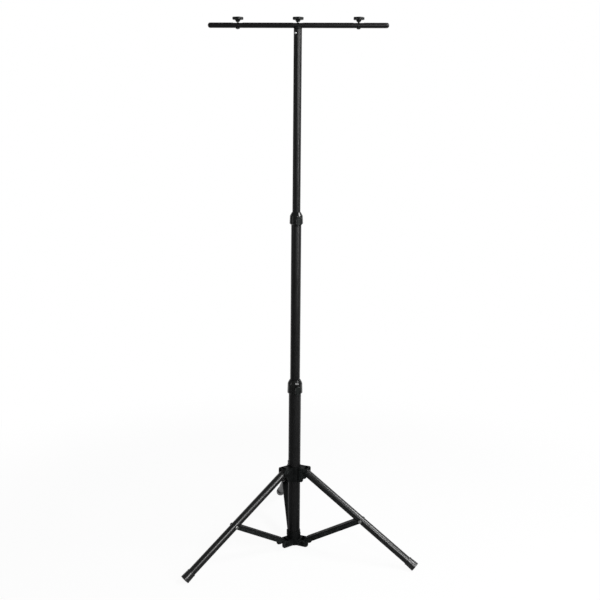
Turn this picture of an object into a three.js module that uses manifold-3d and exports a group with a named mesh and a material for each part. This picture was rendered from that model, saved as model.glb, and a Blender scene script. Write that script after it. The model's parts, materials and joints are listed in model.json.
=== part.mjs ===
// Three-section lighting stand on a folding tripod, with a T-bar across its top.
// Millimetres, +Z up. The mast stands on the Z axis with its foot at the origin,
// and the T-bar lies along X.
import * as THREE from 'three';
import { mergeVertices } from 'three/addons/utils/BufferGeometryUtils.js';
import Module from 'manifold-3d';

const wasm = await Module();
wasm.setup();

// Clearances, the overrun of cuts and the fineness of round forms
const gap = 0.3;
const overrun = 2;
const tubeSides = 24;
const hiddenSides = 16;
const smallSides = 10;
const arcSteps = 3;

// Mast tubes: outer diameter, wall, the base tube's ends above the mast foot, and how far
// each sliding tube reaches into the tube below it and stands out of it
const baseTube = { diameter: 35, wall: 1.5, bottom: 2, top: 490 };
const middleTube = { diameter: 28, wall: 1.4, overlap: 80, exposed: 480 };
const topTube = { diameter: 22, wall: 1.2, overlap: 100, exposed: 494.3 };

// Cap in the foot of the base tube
const footCap = { spigot: 22, wall: 2.5 };

// Glide bushes on the lower ends of the sliding tubes
const glide = { length: 42, lip: 1.6 };

// Collars, measured from the end of the tube that carries them: skirt, liner and knob
// below it, crown above it, and how far the crown's shoulder bulges upwards
const lowerCollar = {
  skirt: 27, crown: 12.6, diameter: 43.4, topDiameter: 31.4, taper: 0.7, shoulder: 4,
  chamfer: 2, liner: 30, knobDrop: 12,
};
const upperCollar = {
  skirt: 24, crown: 11, diameter: 37.4, topDiameter: 24.2, taper: 0.9, shoulder: 1.5,
  chamfer: 3.6, liner: 30, knobDrop: 11,
};
const collarSlit = { width: 1.2, depth: 1.2, azimuth: -104 };

// Oval clamp knobs of the collars and of the leg hub, upright at rest, and their screws
const clampKnob = {
  height: 24, width: 16, length: 10, fullnessShare: 0.78, steps: 16, edge: 1.6, neckDiameter: 13,
  neck: 3, azimuth: -70,
};
const clampScrew = { diameter: 6, inKnob: 6 };
const clampBoss = { diameter: 15, proud: 2.4 };

// Legs: number, turn about the mast, spread from the vertical, and the tube
const legNames = ['rear', 'left', 'right'];
const tripodTurn = 101.5;
const leg = { diameter: 22, wall: 1.2, length: 401, spread: 55.64, headroom: 5.2 };
const legPlug = { head: 1.6, spigot: 18, wall: 2.2 };
const boot = {
  length: 27, soleDiameter: 27, topDiameter: 24.4, waistShare: 0.45, sole: 6, lip: 2.4,
  lipProud: 0.7, flat: 1.5,
};

// Leg hub, which slides on the base tube: its foot's height above the mast foot, and from
// there the heights of its pivots, knob and arm floors, with a band across each arm's end
const legHub = {
  bottom: 199.5, height: 42.5, wall: 2.6, armReach: 46, armWall: 2.5, pivotRadius: 40,
  pivotRise: 26.5, lobeReach: 31, lobeDrop: 6, armFloor: 19.5, corner: 4, band: 3,
  bandHeight: 2.6, sideGap: 0.6, knobAzimuth: 41, knobRise: 21.5,
};
const pivotBolt = { diameter: 6, headDiameter: 11, headHeight: 2.4 };

// Strut hub, fixed to the foot of the base tube
const strutHub = {
  top: 20, neck: 22, neckWall: 1, wall: 2.6, armReach: 52, armWall: 2, corner: 5, toe: 12,
  pivotRadius: 35, pivotHeight: 12, sideGap: 0.3,
};
const neckRivet = { diameter: 4, headDiameter: 7, headHeight: 1.4, heightShare: 0.6 };

// Struts: open channels whose cheeks straddle the legs
const strut = {
  wall: 1.5, sideGap: 0.4, webHeight: 9.3, lip: 4.6, nose: 7, shoulder: 6,
  webStart: 14, webEnd: 36, legRivet: 204.75,
};
const strutPin = { diameter: 6, headDiameter: 10, headHeight: 2 };
const strutRivet = { diameter: 5, headDiameter: 10, headHeight: 2.2, inset: 0.2 };
const rivetTurns = { a: 0, b: 180 };
const spacer = { wall: 1.6, inset: 0.4 };

// T-bar, its end caps and the flats under the fixtures
const bar = {
  diameter: 14, wall: 2, length: 480, pitch: 160, flatLength: 27, flatDepth: 1,
};
const barCap = { head: 6, tipShare: 0.5, spigot: 14 };

// Socket that carries the bar on the top tube, and its screw
const socket = {
  shoulder: 9.4, spigot: 37, wall: 1.6, saddleLength: 23, shoulderWall: 1,
  screwDrop: 20, screwAzimuth: -118, saddleDrop: 4.2,
};
const socketScrew = {
  diameter: 4, headDiameter: 7, headHeight: 2, depth: 4.5, recess: 3.2, recessDepth: 1,
};

// Fixture knobs, raised above the bar's axis: lobed head, conical neck, stud, and the nut
// that is welded under the bar and fits its round underside
const fixtureKnob = {
  diameter: 30, lobes: 5, lobeSteps: 5, lobeDepth: 2.6, rise: 21, head: 7, edge: 1.5,
  neckDiameter: 15.5, neckTip: 8.8, neckRise: 8.4, dish: 1.2, dishDiameter: 13,
};
const fixtureStud = { diameter: 6, inKnob: 4.4, below: 3.2 };
const fixtureNut = { flats: 10, proud: 2, rise: 3, sides: 6 };

// Finishes
const finishes = {
  powderCoat: { color: 0x1b1b1d, roughness: 0.42, metalness: 0.2 },
  legCoat: { color: 0x17171a, roughness: 0.3, metalness: 0.25 },
  mouldedPlastic: { color: 0x141416, roughness: 0.3, metalness: 0 },
  rubber: { color: 0x191a1b, roughness: 0.75, metalness: 0 },
  blackSteel: { color: 0x202124, roughness: 0.38, metalness: 0.5 },
  brightSteel: { color: 0xc3c6c9, roughness: 0.25, metalness: 0.95 },
  innerPlastic: { color: 0x2a2b2d, roughness: 0.6, metalness: 0 },
};

// Sizes that follow from the driving dimensions
const radians = THREE.MathUtils.degToRad;
const middleBottom = baseTube.top - middleTube.overlap;
const middleTop = baseTube.top + middleTube.exposed;
const topBottom = middleTop - topTube.overlap;
const topTubeTop = middleTop + topTube.exposed;
const barHeight = topTubeTop + gap + socket.shoulder;
const hubTop = legHub.bottom + legHub.height;
const hubPivotHeight = legHub.bottom + legHub.pivotRise;
const hubKnobHeight = legHub.bottom + legHub.knobRise;
const neckRivetHeight = strutHub.top + strutHub.neck * neckRivet.heightShare;
const spread = radians(leg.spread);
const legRadius = leg.diameter / 2;
const rivetRadius = legHub.pivotRadius + strut.legRivet * Math.sin(spread);
const rivetHeight = hubPivotHeight - strut.legRivet * Math.cos(spread);
const strutRun = rivetRadius - strutHub.pivotRadius;
const strutRise = rivetHeight - strutHub.pivotHeight;
const strutLength = Math.hypot(strutRun, strutRise);
const strutSlope = Math.atan2(strutRise, strutRun);
const strutInside = legRadius + strut.sideGap;
const strutOutside = strutInside + strut.wall;
const nutRadius = fixtureNut.flats / Math.sqrt(3);
const soleDrop = (boot.soleDiameter / 2) * Math.sin(spread);
const floorHeight = hubPivotHeight - leg.length * Math.cos(spread) - soleDrop + boot.flat;

// Solids from closed geometries, and meshes from solids
function solid(geometry) {
  const shape = geometry.clone();
  shape.deleteAttribute('normal');
  shape.deleteAttribute('uv');
  const merged = mergeVertices(shape);
  const vertProperties = new Float32Array(merged.attributes.position.array);
  const triVerts = new Uint32Array(merged.index.array);
  return new wasm.Manifold(new wasm.Mesh({ numProp: 3, vertProperties, triVerts }));
}

function geometryOf(body) {
  const mesh = body.getMesh();
  const geometry = new THREE.BufferGeometry();
  geometry.setAttribute('position', new THREE.BufferAttribute(new Float32Array(mesh.vertProperties), 3));
  geometry.setIndex(new THREE.BufferAttribute(new Uint32Array(mesh.triVerts), 1));
  geometry.computeVertexNormals();
  return geometry;
}

const materials = {};
for (const [name, values] of Object.entries(finishes)) {
  materials[name] = new THREE.MeshStandardMaterial(values);
}

function addPiece(parent, name, body, finish) {
  const mesh = new THREE.Mesh(geometryOf(body), materials[finish]);
  mesh.name = name;
  parent.add(mesh);
  return mesh;
}

// A solid of revolution about Z from [radius, height] pairs
function revolved(profile, sides) {
  const points = profile.map(([radius, height]) => new THREE.Vector2(radius, height));
  const geometry = new THREE.LatheGeometry(points, sides);
  geometry.rotateX(Math.PI / 2);
  return solid(geometry);
}

// A ring between two radii, its first point repeated to close the profile
function ring(inner, outer, bottom, top, sides = tubeSides) {
  return revolved([[inner, bottom], [outer, bottom], [outer, top], [inner, top], [inner, bottom]], sides);
}

function rod(radius, bottom, top, sides = smallSides) {
  return revolved([[0, bottom], [radius, bottom], [radius, top], [0, top]], sides);
}

function block(sizeX, sizeY, sizeZ, x = 0, y = 0, z = 0) {
  const geometry = new THREE.BoxGeometry(sizeX, sizeY, sizeZ);
  geometry.translate(x, y, z);
  return solid(geometry);
}

// Turns a solid that stands on Z so that its axis points along +X, or along +Y
function alongX(body) {
  return body.rotate([0, 90, 0]);
}

function alongY(body) {
  return body.rotate([-90, 0, 0]);
}

// A plate in the XZ plane, from one Y to another, with its outline given as a shape
function plate(shape, fromY, toY) {
  const geometry = new THREE.ExtrudeGeometry(shape, {
    depth: toY - fromY, bevelEnabled: false, curveSegments: arcSteps,
  });
  geometry.rotateX(Math.PI / 2);
  geometry.translate(0, toY, 0);
  return solid(geometry);
}

// The same plate on both sides of the XZ plane
function cheeks(shape, inside, thickness) {
  return plate(shape, inside, inside + thickness).add(plate(shape, -inside - thickness, -inside));
}

// A closed outline through points that a function gives at evenly spaced angles
function roundShape(steps, pointAt) {
  const points = Array.from({ length: steps }, (unused, step) => pointAt((step / steps) * Math.PI * 2));
  return new THREE.Shape(points.map(([x, y]) => new THREE.Vector2(x, y)));
}

// A star of round lobes, its radius swinging between the lobes' tips and the hollows
function lobedShape({ diameter, lobes, lobeSteps, lobeDepth }) {
  return roundShape(lobes * lobeSteps, (angle) => {
    const swing = (1 + Math.cos(lobes * angle)) / 2;
    const reach = diameter / 2 - lobeDepth * (1 - Math.sqrt(swing));
    return [reach * Math.cos(angle), reach * Math.sin(angle)];
  });
}

// An oval with full corners
function ovalShape({ height, width, fullnessShare, steps }) {
  const eased = (value) => Math.sign(value) * Math.abs(value) ** fullnessShare;
  return roundShape(steps, (angle) => {
    return [(height / 2) * eased(Math.cos(angle)), (width / 2) * eased(Math.sin(angle))];
  });
}

// A knob's head, extruded from a given height, with both rims bevelled
function knobHead(shape, edge, start, height) {
  const geometry = new THREE.ExtrudeGeometry(shape, {
    depth: height - edge * 2, bevelThickness: edge, bevelSize: edge, bevelOffset: -edge, bevelSegments: 1,
  });
  geometry.translate(0, 0, start + edge);
  return solid(geometry);
}

// A round hole across the mast axis, at a height and an azimuth
function radialHole(radius, height, azimuth, reach, from = 0) {
  return alongX(rod(radius, from, reach))
    .rotate([0, 0, azimuth])
    .translate([0, 0, height]);
}

function clampHole(height, azimuth, reach) {
  return radialHole(clampScrew.diameter / 2 + gap, height, azimuth, reach);
}

const stand = new THREE.Group();

// Mast foot: the base tube and the cap that closes it
function buildBaseTube() {
  const outer = baseTube.diameter / 2;
  const inner = outer - baseTube.wall;
  const screwHole = clampHole(baseTube.top - lowerCollar.knobDrop, clampKnob.azimuth, baseTube.diameter);
  const tube = ring(inner, outer, baseTube.bottom, baseTube.top).subtract(screwHole);
  addPiece(stand, 'base_tube', tube, 'powderCoat');

  const plugOuter = inner - gap;
  const capEdge = baseTube.bottom - gap;
  const cap = revolved([
    [0, 0], [outer, 0], [outer, capEdge], [plugOuter, capEdge], [plugOuter, footCap.spigot],
    [plugOuter - footCap.wall, footCap.spigot], [plugOuter - footCap.wall, footCap.wall],
    [0, footCap.wall],
  ], tubeSides);
  addPiece(stand, 'mast_foot_cap', cap, 'mouldedPlastic');
}

// The crown of a collar: a curve from its body in to its top edge
function crownPoints(collar, seatHeight) {
  const bodyRadius = collar.diameter / 2 - collar.taper;
  const curve = new THREE.QuadraticBezierCurve(
    new THREE.Vector2(bodyRadius, seatHeight),
    new THREE.Vector2(bodyRadius, seatHeight + collar.shoulder),
    new THREE.Vector2(collar.topDiameter / 2, seatHeight + collar.crown),
  );
  return curve.getPoints(arcSteps).map((point) => [point.x, point.y]);
}

// A collar on the top end of an outer tube, guiding the tube that slides in it
function collarSolid(collar, outerTube, tubeTop, innerTube) {
  const tubeOuter = outerTube.diameter / 2 + gap;
  const tubeInner = outerTube.diameter / 2 - outerTube.wall - gap;
  const slide = innerTube.diameter / 2 + gap;
  const bodyRadius = collar.diameter / 2;
  const bottom = tubeTop - collar.skirt;
  const top = tubeTop + collar.crown;
  const seat = tubeTop + gap;
  const linerFoot = tubeTop - collar.liner;
  const knobHeight = tubeTop - collar.knobDrop;
  const shell = revolved([
    [tubeOuter, bottom], [bodyRadius - collar.chamfer, bottom], [bodyRadius, bottom + collar.chamfer],
    ...crownPoints(collar, tubeTop), [slide, top], [slide, linerFoot],
    [tubeInner, linerFoot], [tubeInner, seat], [tubeOuter, seat], [tubeOuter, bottom],
  ], tubeSides);
  const boss = alongX(rod(clampBoss.diameter / 2, tubeOuter, bodyRadius + clampBoss.proud, hiddenSides))
    .rotate([0, 0, clampKnob.azimuth])
    .translate([0, 0, knobHeight]);
  const bossInside = rod(tubeOuter, bottom - overrun, seat, tubeSides);
  const slitReach = bodyRadius - collarSlit.depth;
  const slit = block(bodyRadius, collarSlit.width, top - bottom, slitReach + bodyRadius / 2, 0, 0)
    .rotate([0, 0, collarSlit.azimuth])
    .translate([0, 0, (bottom + top) / 2]);
  return shell
    .add(boss.subtract(bossInside))
    .subtract(clampHole(knobHeight, clampKnob.azimuth, bodyRadius * 2))
    .subtract(slit);
}

// A clamp knob and its screw, standing out from a boss face at the given azimuth
function buildClamp(name, height, azimuth, bossFace, tipRadius) {
  const frame = new THREE.Group();
  frame.position.z = height;
  frame.rotation.z = radians(azimuth);
  stand.add(frame);

  const screwRadius = clampScrew.diameter / 2;
  const knobStart = bossFace + gap;
  const headStart = knobStart + clampKnob.neck;
  const neck = rod(clampKnob.neckDiameter / 2, knobStart, headStart + clampKnob.edge, hiddenSides);
  const head = knobHead(ovalShape(clampKnob), clampKnob.edge, headStart, clampKnob.length);
  const bore = rod(screwRadius + gap, knobStart - overrun, headStart + clampScrew.inKnob + gap);
  addPiece(frame, `${name}_knob`, alongX(neck.add(head).subtract(bore)), 'mouldedPlastic');
  const screw = rod(screwRadius, tipRadius + gap, headStart + clampScrew.inKnob);
  addPiece(frame, `${name}_screw`, alongX(screw), 'brightSteel');
}

function buildCollars() {
  const collars = {
    lower_collar: [lowerCollar, baseTube, baseTube.top, middleTube],
    upper_collar: [upperCollar, middleTube, middleTop, topTube],
  };
  for (const [name, [collar, outerTube, tubeTop, innerTube]] of Object.entries(collars)) {
    addPiece(stand, name, collarSolid(collar, outerTube, tubeTop, innerTube), 'mouldedPlastic');
    const bossFace = collar.diameter / 2 + clampBoss.proud;
    buildClamp(name, tubeTop - collar.knobDrop, clampKnob.azimuth, bossFace, innerTube.diameter / 2);
  }
}

// Middle and top tubes with the glide bushes on their lower ends
function glideSolid(outerTube, innerTube, tubeFoot) {
  const outside = outerTube.diameter / 2 - outerTube.wall - gap;
  const tubeOutside = innerTube.diameter / 2 + gap;
  const tubeInside = innerTube.diameter / 2 - innerTube.wall;
  const foot = tubeFoot - gap;
  const bottom = foot - glide.lip;
  const top = bottom + glide.length;
  return revolved([
    [tubeInside, bottom], [outside, bottom], [outside, top], [tubeOutside, top],
    [tubeOutside, foot], [tubeInside, foot], [tubeInside, bottom],
  ], hiddenSides);
}

function buildSlidingTubes() {
  const middleOuter = middleTube.diameter / 2;
  const middle = ring(middleOuter - middleTube.wall, middleOuter, middleBottom, middleTop)
    .subtract(clampHole(middleTop - upperCollar.knobDrop, clampKnob.azimuth, middleTube.diameter));
  addPiece(stand, 'middle_tube', middle, 'powderCoat');
  addPiece(stand, 'middle_tube_glide', glideSolid(baseTube, middleTube, middleBottom), 'innerPlastic');

  const topOuter = topTube.diameter / 2;
  const screwHole = radialHole(
    socketScrew.diameter / 2 + gap, barHeight - socket.screwDrop, socket.screwAzimuth, topTube.diameter,
  );
  const top = ring(topOuter - topTube.wall, topOuter, topBottom, topTubeTop).subtract(screwHole);
  addPiece(stand, 'top_tube', top, 'powderCoat');
  addPiece(stand, 'top_tube_glide', glideSolid(middleTube, topTube, topBottom), 'innerPlastic');
}

// Leg hub: a sleeve with three open arms, each a pair of lobed cheeks
function legHubCheek() {
  const { bottom, armReach, lobeReach, lobeDrop, corner } = legHub;
  const top = hubTop;
  const armFloor = bottom + legHub.armFloor;
  const root = baseTube.diameter / 2 - legHub.wall;
  const lobeTurn = (armReach - lobeReach) / 2;
  const shape = new THREE.Shape();
  shape.moveTo(root, bottom);
  shape.lineTo(lobeReach - corner, bottom);
  shape.quadraticCurveTo(lobeReach, bottom, lobeReach + corner / 2, bottom + lobeDrop);
  shape.quadraticCurveTo(lobeReach + lobeTurn / 2, armFloor - corner, armReach - corner, armFloor);
  shape.quadraticCurveTo(armReach, armFloor, armReach, armFloor + corner);
  shape.lineTo(armReach, top - corner);
  shape.quadraticCurveTo(armReach, top, armReach - corner, top);
  shape.lineTo(root, top);
  shape.closePath();
  return shape;
}

function legAzimuth(index) {
  return tripodTurn + (index * 360) / legNames.length;
}

function buildLegHub() {
  const tubeOuter = baseTube.diameter / 2 + gap;
  const sleeve = ring(tubeOuter, tubeOuter + legHub.wall, legHub.bottom, hubTop);
  const inside = legRadius + legHub.sideGap;
  const outline = legHubCheek();
  const bandSpace = block(
    legHub.band, leg.diameter * 2, legHub.bandHeight,
    legHub.armReach - legHub.band / 2, 0, hubTop - legHub.bandHeight / 2,
  );
  const band = plate(outline, -inside - legHub.armWall, inside + legHub.armWall).intersect(bandSpace);
  const pinHole = alongY(rod(pivotBolt.diameter / 2 + gap, -leg.diameter, leg.diameter))
    .translate([legHub.pivotRadius, 0, hubPivotHeight]);
  const drilledArm = cheeks(outline, inside, legHub.armWall).add(band).subtract(pinHole);
  const bossFace = tubeOuter + legHub.wall + clampBoss.proud;
  let body = sleeve.add(
    alongX(rod(clampBoss.diameter / 2, tubeOuter, bossFace, hiddenSides))
      .rotate([0, 0, legHub.knobAzimuth])
      .translate([0, 0, hubKnobHeight]),
  );
  legNames.forEach((name, index) => {
    body = body.add(drilledArm.rotate([0, 0, legAzimuth(index)]));
  });
  body = body
    .subtract(rod(tubeOuter, legHub.bottom - overrun, hubTop + overrun, tubeSides))
    .subtract(clampHole(hubKnobHeight, legHub.knobAzimuth, bossFace + overrun));
  addPiece(stand, 'leg_hub', body, 'blackSteel');
  buildClamp('leg_hub', hubKnobHeight, legHub.knobAzimuth, bossFace, baseTube.diameter / 2);
}

// Strut hub: a low sleeve with a conical neck and three open arms
function strutHubCheek() {
  const { top, armReach, corner, toe } = strutHub;
  const root = baseTube.diameter / 2 - strutHub.wall;
  const shape = new THREE.Shape();
  shape.moveTo(root, 0);
  shape.lineTo(armReach - toe, 0);
  shape.quadraticCurveTo(armReach, 0, armReach, toe);
  shape.lineTo(armReach, top - corner);
  shape.quadraticCurveTo(armReach, top, armReach - corner, top);
  shape.lineTo(root, top);
  shape.closePath();
  return shape;
}

function buildStrutHub() {
  const tubeOuter = baseTube.diameter / 2 + gap;
  const neckTop = strutHub.top + strutHub.neck;
  const sleeve = revolved([
    [tubeOuter, 0], [tubeOuter + strutHub.wall, 0], [tubeOuter + strutHub.wall, strutHub.top],
    [tubeOuter + strutHub.neckWall, neckTop], [tubeOuter, neckTop], [tubeOuter, 0],
  ], tubeSides);
  const arm = cheeks(strutHubCheek(), strutOutside + strutHub.sideGap, strutHub.armWall);
  const pinHole = alongY(rod(strutPin.diameter / 2 + gap, -leg.diameter, leg.diameter))
    .translate([strutHub.pivotRadius, 0, strutHub.pivotHeight]);
  const drilledArm = arm.subtract(pinHole);
  let body = sleeve;
  legNames.forEach((name, index) => {
    body = body.add(drilledArm.rotate([0, 0, legAzimuth(index)]));
  });
  body = body.subtract(rod(tubeOuter, -overrun, neckTop + overrun, tubeSides));
  const rivetClearance = neckRivet.diameter / 2 + gap;
  legNames.forEach((name, index) => {
    body = body.subtract(radialHole(rivetClearance, neckRivetHeight, legAzimuth(index), baseTube.diameter));
  });
  addPiece(stand, 'strut_hub', body, 'blackSteel');
}

// A pin along Y with a domed head on each end, its shank between the outer faces
function headedPin(shankRadius, headRadius, headHeight, face) {
  const seat = face + gap;
  const crown = seat + headHeight;
  return alongY(revolved([
    [0, -crown], [headRadius / 2, -crown], [headRadius, -seat], [shankRadius, -seat],
    [shankRadius, seat], [headRadius, seat], [headRadius / 2, crown], [0, crown],
  ], smallSides));
}

// One leg with its plug, boot and spacer, in a frame whose -Z runs down the leg
function buildLeg(arm, name) {
  const frame = new THREE.Group();
  frame.position.set(legHub.pivotRadius, 0, hubPivotHeight);
  frame.rotation.y = -spread;
  arm.add(frame);

  const bore = legRadius - leg.wall;
  const boltClearance = pivotBolt.diameter / 2 + gap;
  const spacerOuter = strutRivet.diameter / 2 + gap + spacer.wall;
  const pivotHole = alongY(rod(boltClearance, -leg.diameter, leg.diameter));
  const spacerHole = alongY(rod(spacerOuter + gap, -leg.diameter, leg.diameter))
    .translate([0, 0, -strut.legRivet]);
  const tubeFoot = boot.sole + gap - leg.length;
  const tube = ring(bore, legRadius, tubeFoot, leg.headroom).subtract(pivotHole).subtract(spacerHole);
  addPiece(frame, `leg_tube_${name}`, tube, 'legCoat');

  const plugRadius = bore - gap;
  const plugBore = plugRadius - legPlug.wall;
  const plugSeat = leg.headroom + gap;
  const plugTop = plugSeat + legPlug.head;
  const plugFoot = plugSeat - legPlug.spigot;
  const plug = revolved([
    [0, plugSeat - legPlug.head], [plugBore, plugSeat - legPlug.head], [plugBore, plugFoot],
    [plugRadius, plugFoot], [plugRadius, plugSeat], [legRadius, plugSeat],
    [legRadius, plugSeat + legPlug.head / 2], [plugRadius, plugTop], [0, plugTop],
  ], hiddenSides).subtract(pivotHole);
  addPiece(frame, `leg_plug_${name}`, plug, 'mouldedPlastic');

  const spacerReach = legRadius - spacer.inset;
  const spacerTube = ring(strutRivet.diameter / 2 + gap, spacerOuter, -spacerReach, spacerReach, smallSides);
  addPiece(frame, `leg_spacer_${name}`, alongY(spacerTube).translate([0, 0, -strut.legRivet]), 'brightSteel');

  const mouth = boot.length - leg.length;
  const soleRadius = boot.soleDiameter / 2;
  const topRadius = boot.topDiameter / 2;
  const waistRadius = topRadius + (soleRadius - topRadius) * boot.waistShare;
  const socketRadius = legRadius + gap;
  const lipRadius = topRadius + boot.lipProud;
  const rubber = revolved([
    [0, -leg.length], [soleRadius, -leg.length], [waistRadius, -leg.length + boot.length / 2],
    [topRadius, mouth - boot.lip], [lipRadius, mouth - boot.lip], [lipRadius, mouth],
    [socketRadius, mouth], [socketRadius, boot.sole - leg.length], [0, boot.sole - leg.length],
  ], tubeSides);
  const floorDepth = boot.length;
  const floorBlock = block(leg.length, boot.soleDiameter * 2, floorDepth,
    legHub.pivotRadius + leg.length * Math.sin(spread), 0, floorHeight - floorDepth / 2)
    .translate([-legHub.pivotRadius, 0, -hubPivotHeight])
    .rotate([0, leg.spread, 0]);
  addPiece(frame, `leg_boot_${name}`, rubber.subtract(floorBlock), 'rubber');
}

// One strut in a frame whose +X runs up the strut and whose +Z is the web's normal
function strutSolid() {
  const { webHeight, lip, nose, shoulder, webStart, webEnd, wall } = strut;
  const length = strutLength;
  const shape = new THREE.Shape();
  shape.moveTo(0, -lip);
  shape.lineTo(length, -lip);
  shape.quadraticCurveTo(length + nose, -lip, length + nose, 0);
  shape.quadraticCurveTo(length + nose, shoulder, length, shoulder);
  shape.lineTo(length - webEnd + webHeight, webHeight);
  shape.lineTo(webStart - wall, webHeight);
  shape.lineTo(0, shoulder);
  shape.quadraticCurveTo(-nose, shoulder, -nose, 0);
  shape.quadraticCurveTo(-nose, -lip, 0, -lip);
  const sides = cheeks(shape, strutInside, wall);
  const webLength = length - webEnd - webStart;
  const web = block(webLength, strutOutside * 2, wall, webStart + webLength / 2, 0, webHeight - wall / 2);
  const pinHole = alongY(rod(strutPin.diameter / 2 + gap, -leg.diameter, leg.diameter));
  const rivetHole = alongY(rod(strutRivet.diameter / 2 + gap, -leg.diameter, leg.diameter))
    .translate([length, 0, 0]);
  return sides.add(web).subtract(pinHole).subtract(rivetHole);
}

function buildStrut(arm, name) {
  const frame = new THREE.Group();
  frame.position.set(strutHub.pivotRadius, 0, strutHub.pivotHeight);
  frame.rotation.y = -strutSlope;
  arm.add(frame);
  addPiece(frame, `strut_${name}`, strutSolid(), 'blackSteel');

  const seat = strutOutside + gap;
  const stub = revolved([
    [0, strutInside + strutRivet.inset], [strutRivet.diameter / 2, strutInside + strutRivet.inset],
    [strutRivet.diameter / 2, seat], [strutRivet.headDiameter / 2, seat],
    [strutRivet.headDiameter / 4, seat + strutRivet.headHeight], [0, seat + strutRivet.headHeight],
  ], smallSides);
  for (const [side, turn] of Object.entries(rivetTurns)) {
    const placed = alongY(stub).rotate([0, 0, turn]).translate([strutLength, 0, 0]);
    addPiece(frame, `strut_rivet_${name}_${side}`, placed, 'brightSteel');
  }
}

function buildTripod() {
  legNames.forEach((name, index) => {
    const arm = new THREE.Group();
    arm.rotation.z = radians(legAzimuth(index));
    stand.add(arm);
    buildLeg(arm, name);
    buildStrut(arm, name);

    const boltFace = legRadius + legHub.sideGap + legHub.armWall;
    const bolt = headedPin(pivotBolt.diameter / 2, pivotBolt.headDiameter / 2, pivotBolt.headHeight, boltFace)
      .translate([legHub.pivotRadius, 0, hubPivotHeight]);
    addPiece(arm, `leg_pivot_bolt_${name}`, bolt, 'brightSteel');

    const pinFace = strutOutside + strutHub.sideGap + strutHub.armWall;
    const pin = headedPin(strutPin.diameter / 2, strutPin.headDiameter / 2, strutPin.headHeight, pinFace)
      .translate([strutHub.pivotRadius, 0, strutHub.pivotHeight]);
    addPiece(arm, `strut_pin_${name}`, pin, 'brightSteel');
  });
}

// T-bar with its end caps, flats and captive nuts
const barPlaces = { left: -bar.pitch, centre: 0, right: bar.pitch };

function buildBar() {
  const radius = bar.diameter / 2;
  const bore = radius - bar.wall;
  const half = bar.length / 2 - barCap.head - gap;
  let tube = alongX(ring(bore, radius, -half, half));
  for (const x of Object.values(barPlaces)) {
    const flat = block(bar.flatLength, bar.diameter, overrun, x, 0, radius - bar.flatDepth + overrun / 2);
    const hole = rod(fixtureStud.diameter / 2 + gap, -bar.diameter, bar.diameter).translate([x, 0, 0]);
    tube = tube.subtract(flat).subtract(hole);
  }
  const frame = new THREE.Group();
  frame.position.z = barHeight;
  stand.add(frame);
  addPiece(frame, 't_bar', tube, 'powderCoat');

  const spigotRadius = bore - gap;
  const seat = half + gap;
  const dome = new THREE.EllipseCurve(
    radius * barCap.tipShare, seat, radius * (1 - barCap.tipShare), barCap.head, 0, Math.PI / 2,
  ).getPoints(arcSteps).map((point) => [point.x, point.y]);
  const cap = revolved([
    [0, seat - barCap.spigot], [spigotRadius, seat - barCap.spigot], [spigotRadius, seat], ...dome,
    [0, seat + barCap.head],
  ], tubeSides);
  addPiece(frame, 't_bar_cap_right', alongX(cap), 'mouldedPlastic');
  addPiece(frame, 't_bar_cap_left', alongX(cap).rotate([0, 0, 180]), 'mouldedPlastic');

  const nutBore = rod(fixtureStud.diameter / 2 + gap, -bar.diameter, bar.diameter);
  const underside = alongX(rod(radius + gap, -bar.diameter, bar.diameter, tubeSides));
  const nut = rod(nutRadius, -radius - fixtureNut.proud, fixtureNut.rise - radius, fixtureNut.sides)
    .rotate([0, 0, 180 / fixtureNut.sides])
    .subtract(underside)
    .subtract(nutBore);
  for (const [name, x] of Object.entries(barPlaces)) {
    addPiece(frame, `fixture_nut_${name}`, nut.translate([x, 0, 0]), 'brightSteel');
  }
}

// Fixture knobs on their studs
function buildFixtureKnobs() {
  const top = barHeight + fixtureKnob.rise;
  const headBottom = top - fixtureKnob.head;
  const neckBottom = barHeight + fixtureKnob.neckRise;
  const studRadius = fixtureStud.diameter / 2;
  const studTop = headBottom + fixtureStud.inKnob;
  const studBottom = barHeight - bar.diameter / 2 - fixtureStud.below;
  const neckRadius = fixtureKnob.neckDiameter / 2;
  const neck = revolved([
    [0, neckBottom], [fixtureKnob.neckTip / 2, neckBottom], [neckRadius, headBottom],
    [neckRadius, headBottom + fixtureKnob.edge], [0, headBottom + fixtureKnob.edge],
  ], hiddenSides);
  const head = knobHead(lobedShape(fixtureKnob), fixtureKnob.edge, headBottom, fixtureKnob.head);
  const dish = rod(fixtureKnob.dishDiameter / 2, top - fixtureKnob.dish, top + overrun, tubeSides);
  const bore = rod(studRadius + gap, neckBottom - overrun, studTop + gap);
  const knob = head.add(neck).subtract(dish).subtract(bore);
  const stud = rod(studRadius, studBottom, studTop);
  for (const [name, x] of Object.entries(barPlaces)) {
    addPiece(stand, `fixture_knob_${name}`, knob.translate([x, 0, 0]), 'mouldedPlastic');
    addPiece(stand, `fixture_stud_${name}`, stud.translate([x, 0, 0]), 'brightSteel');
  }
}

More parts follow.
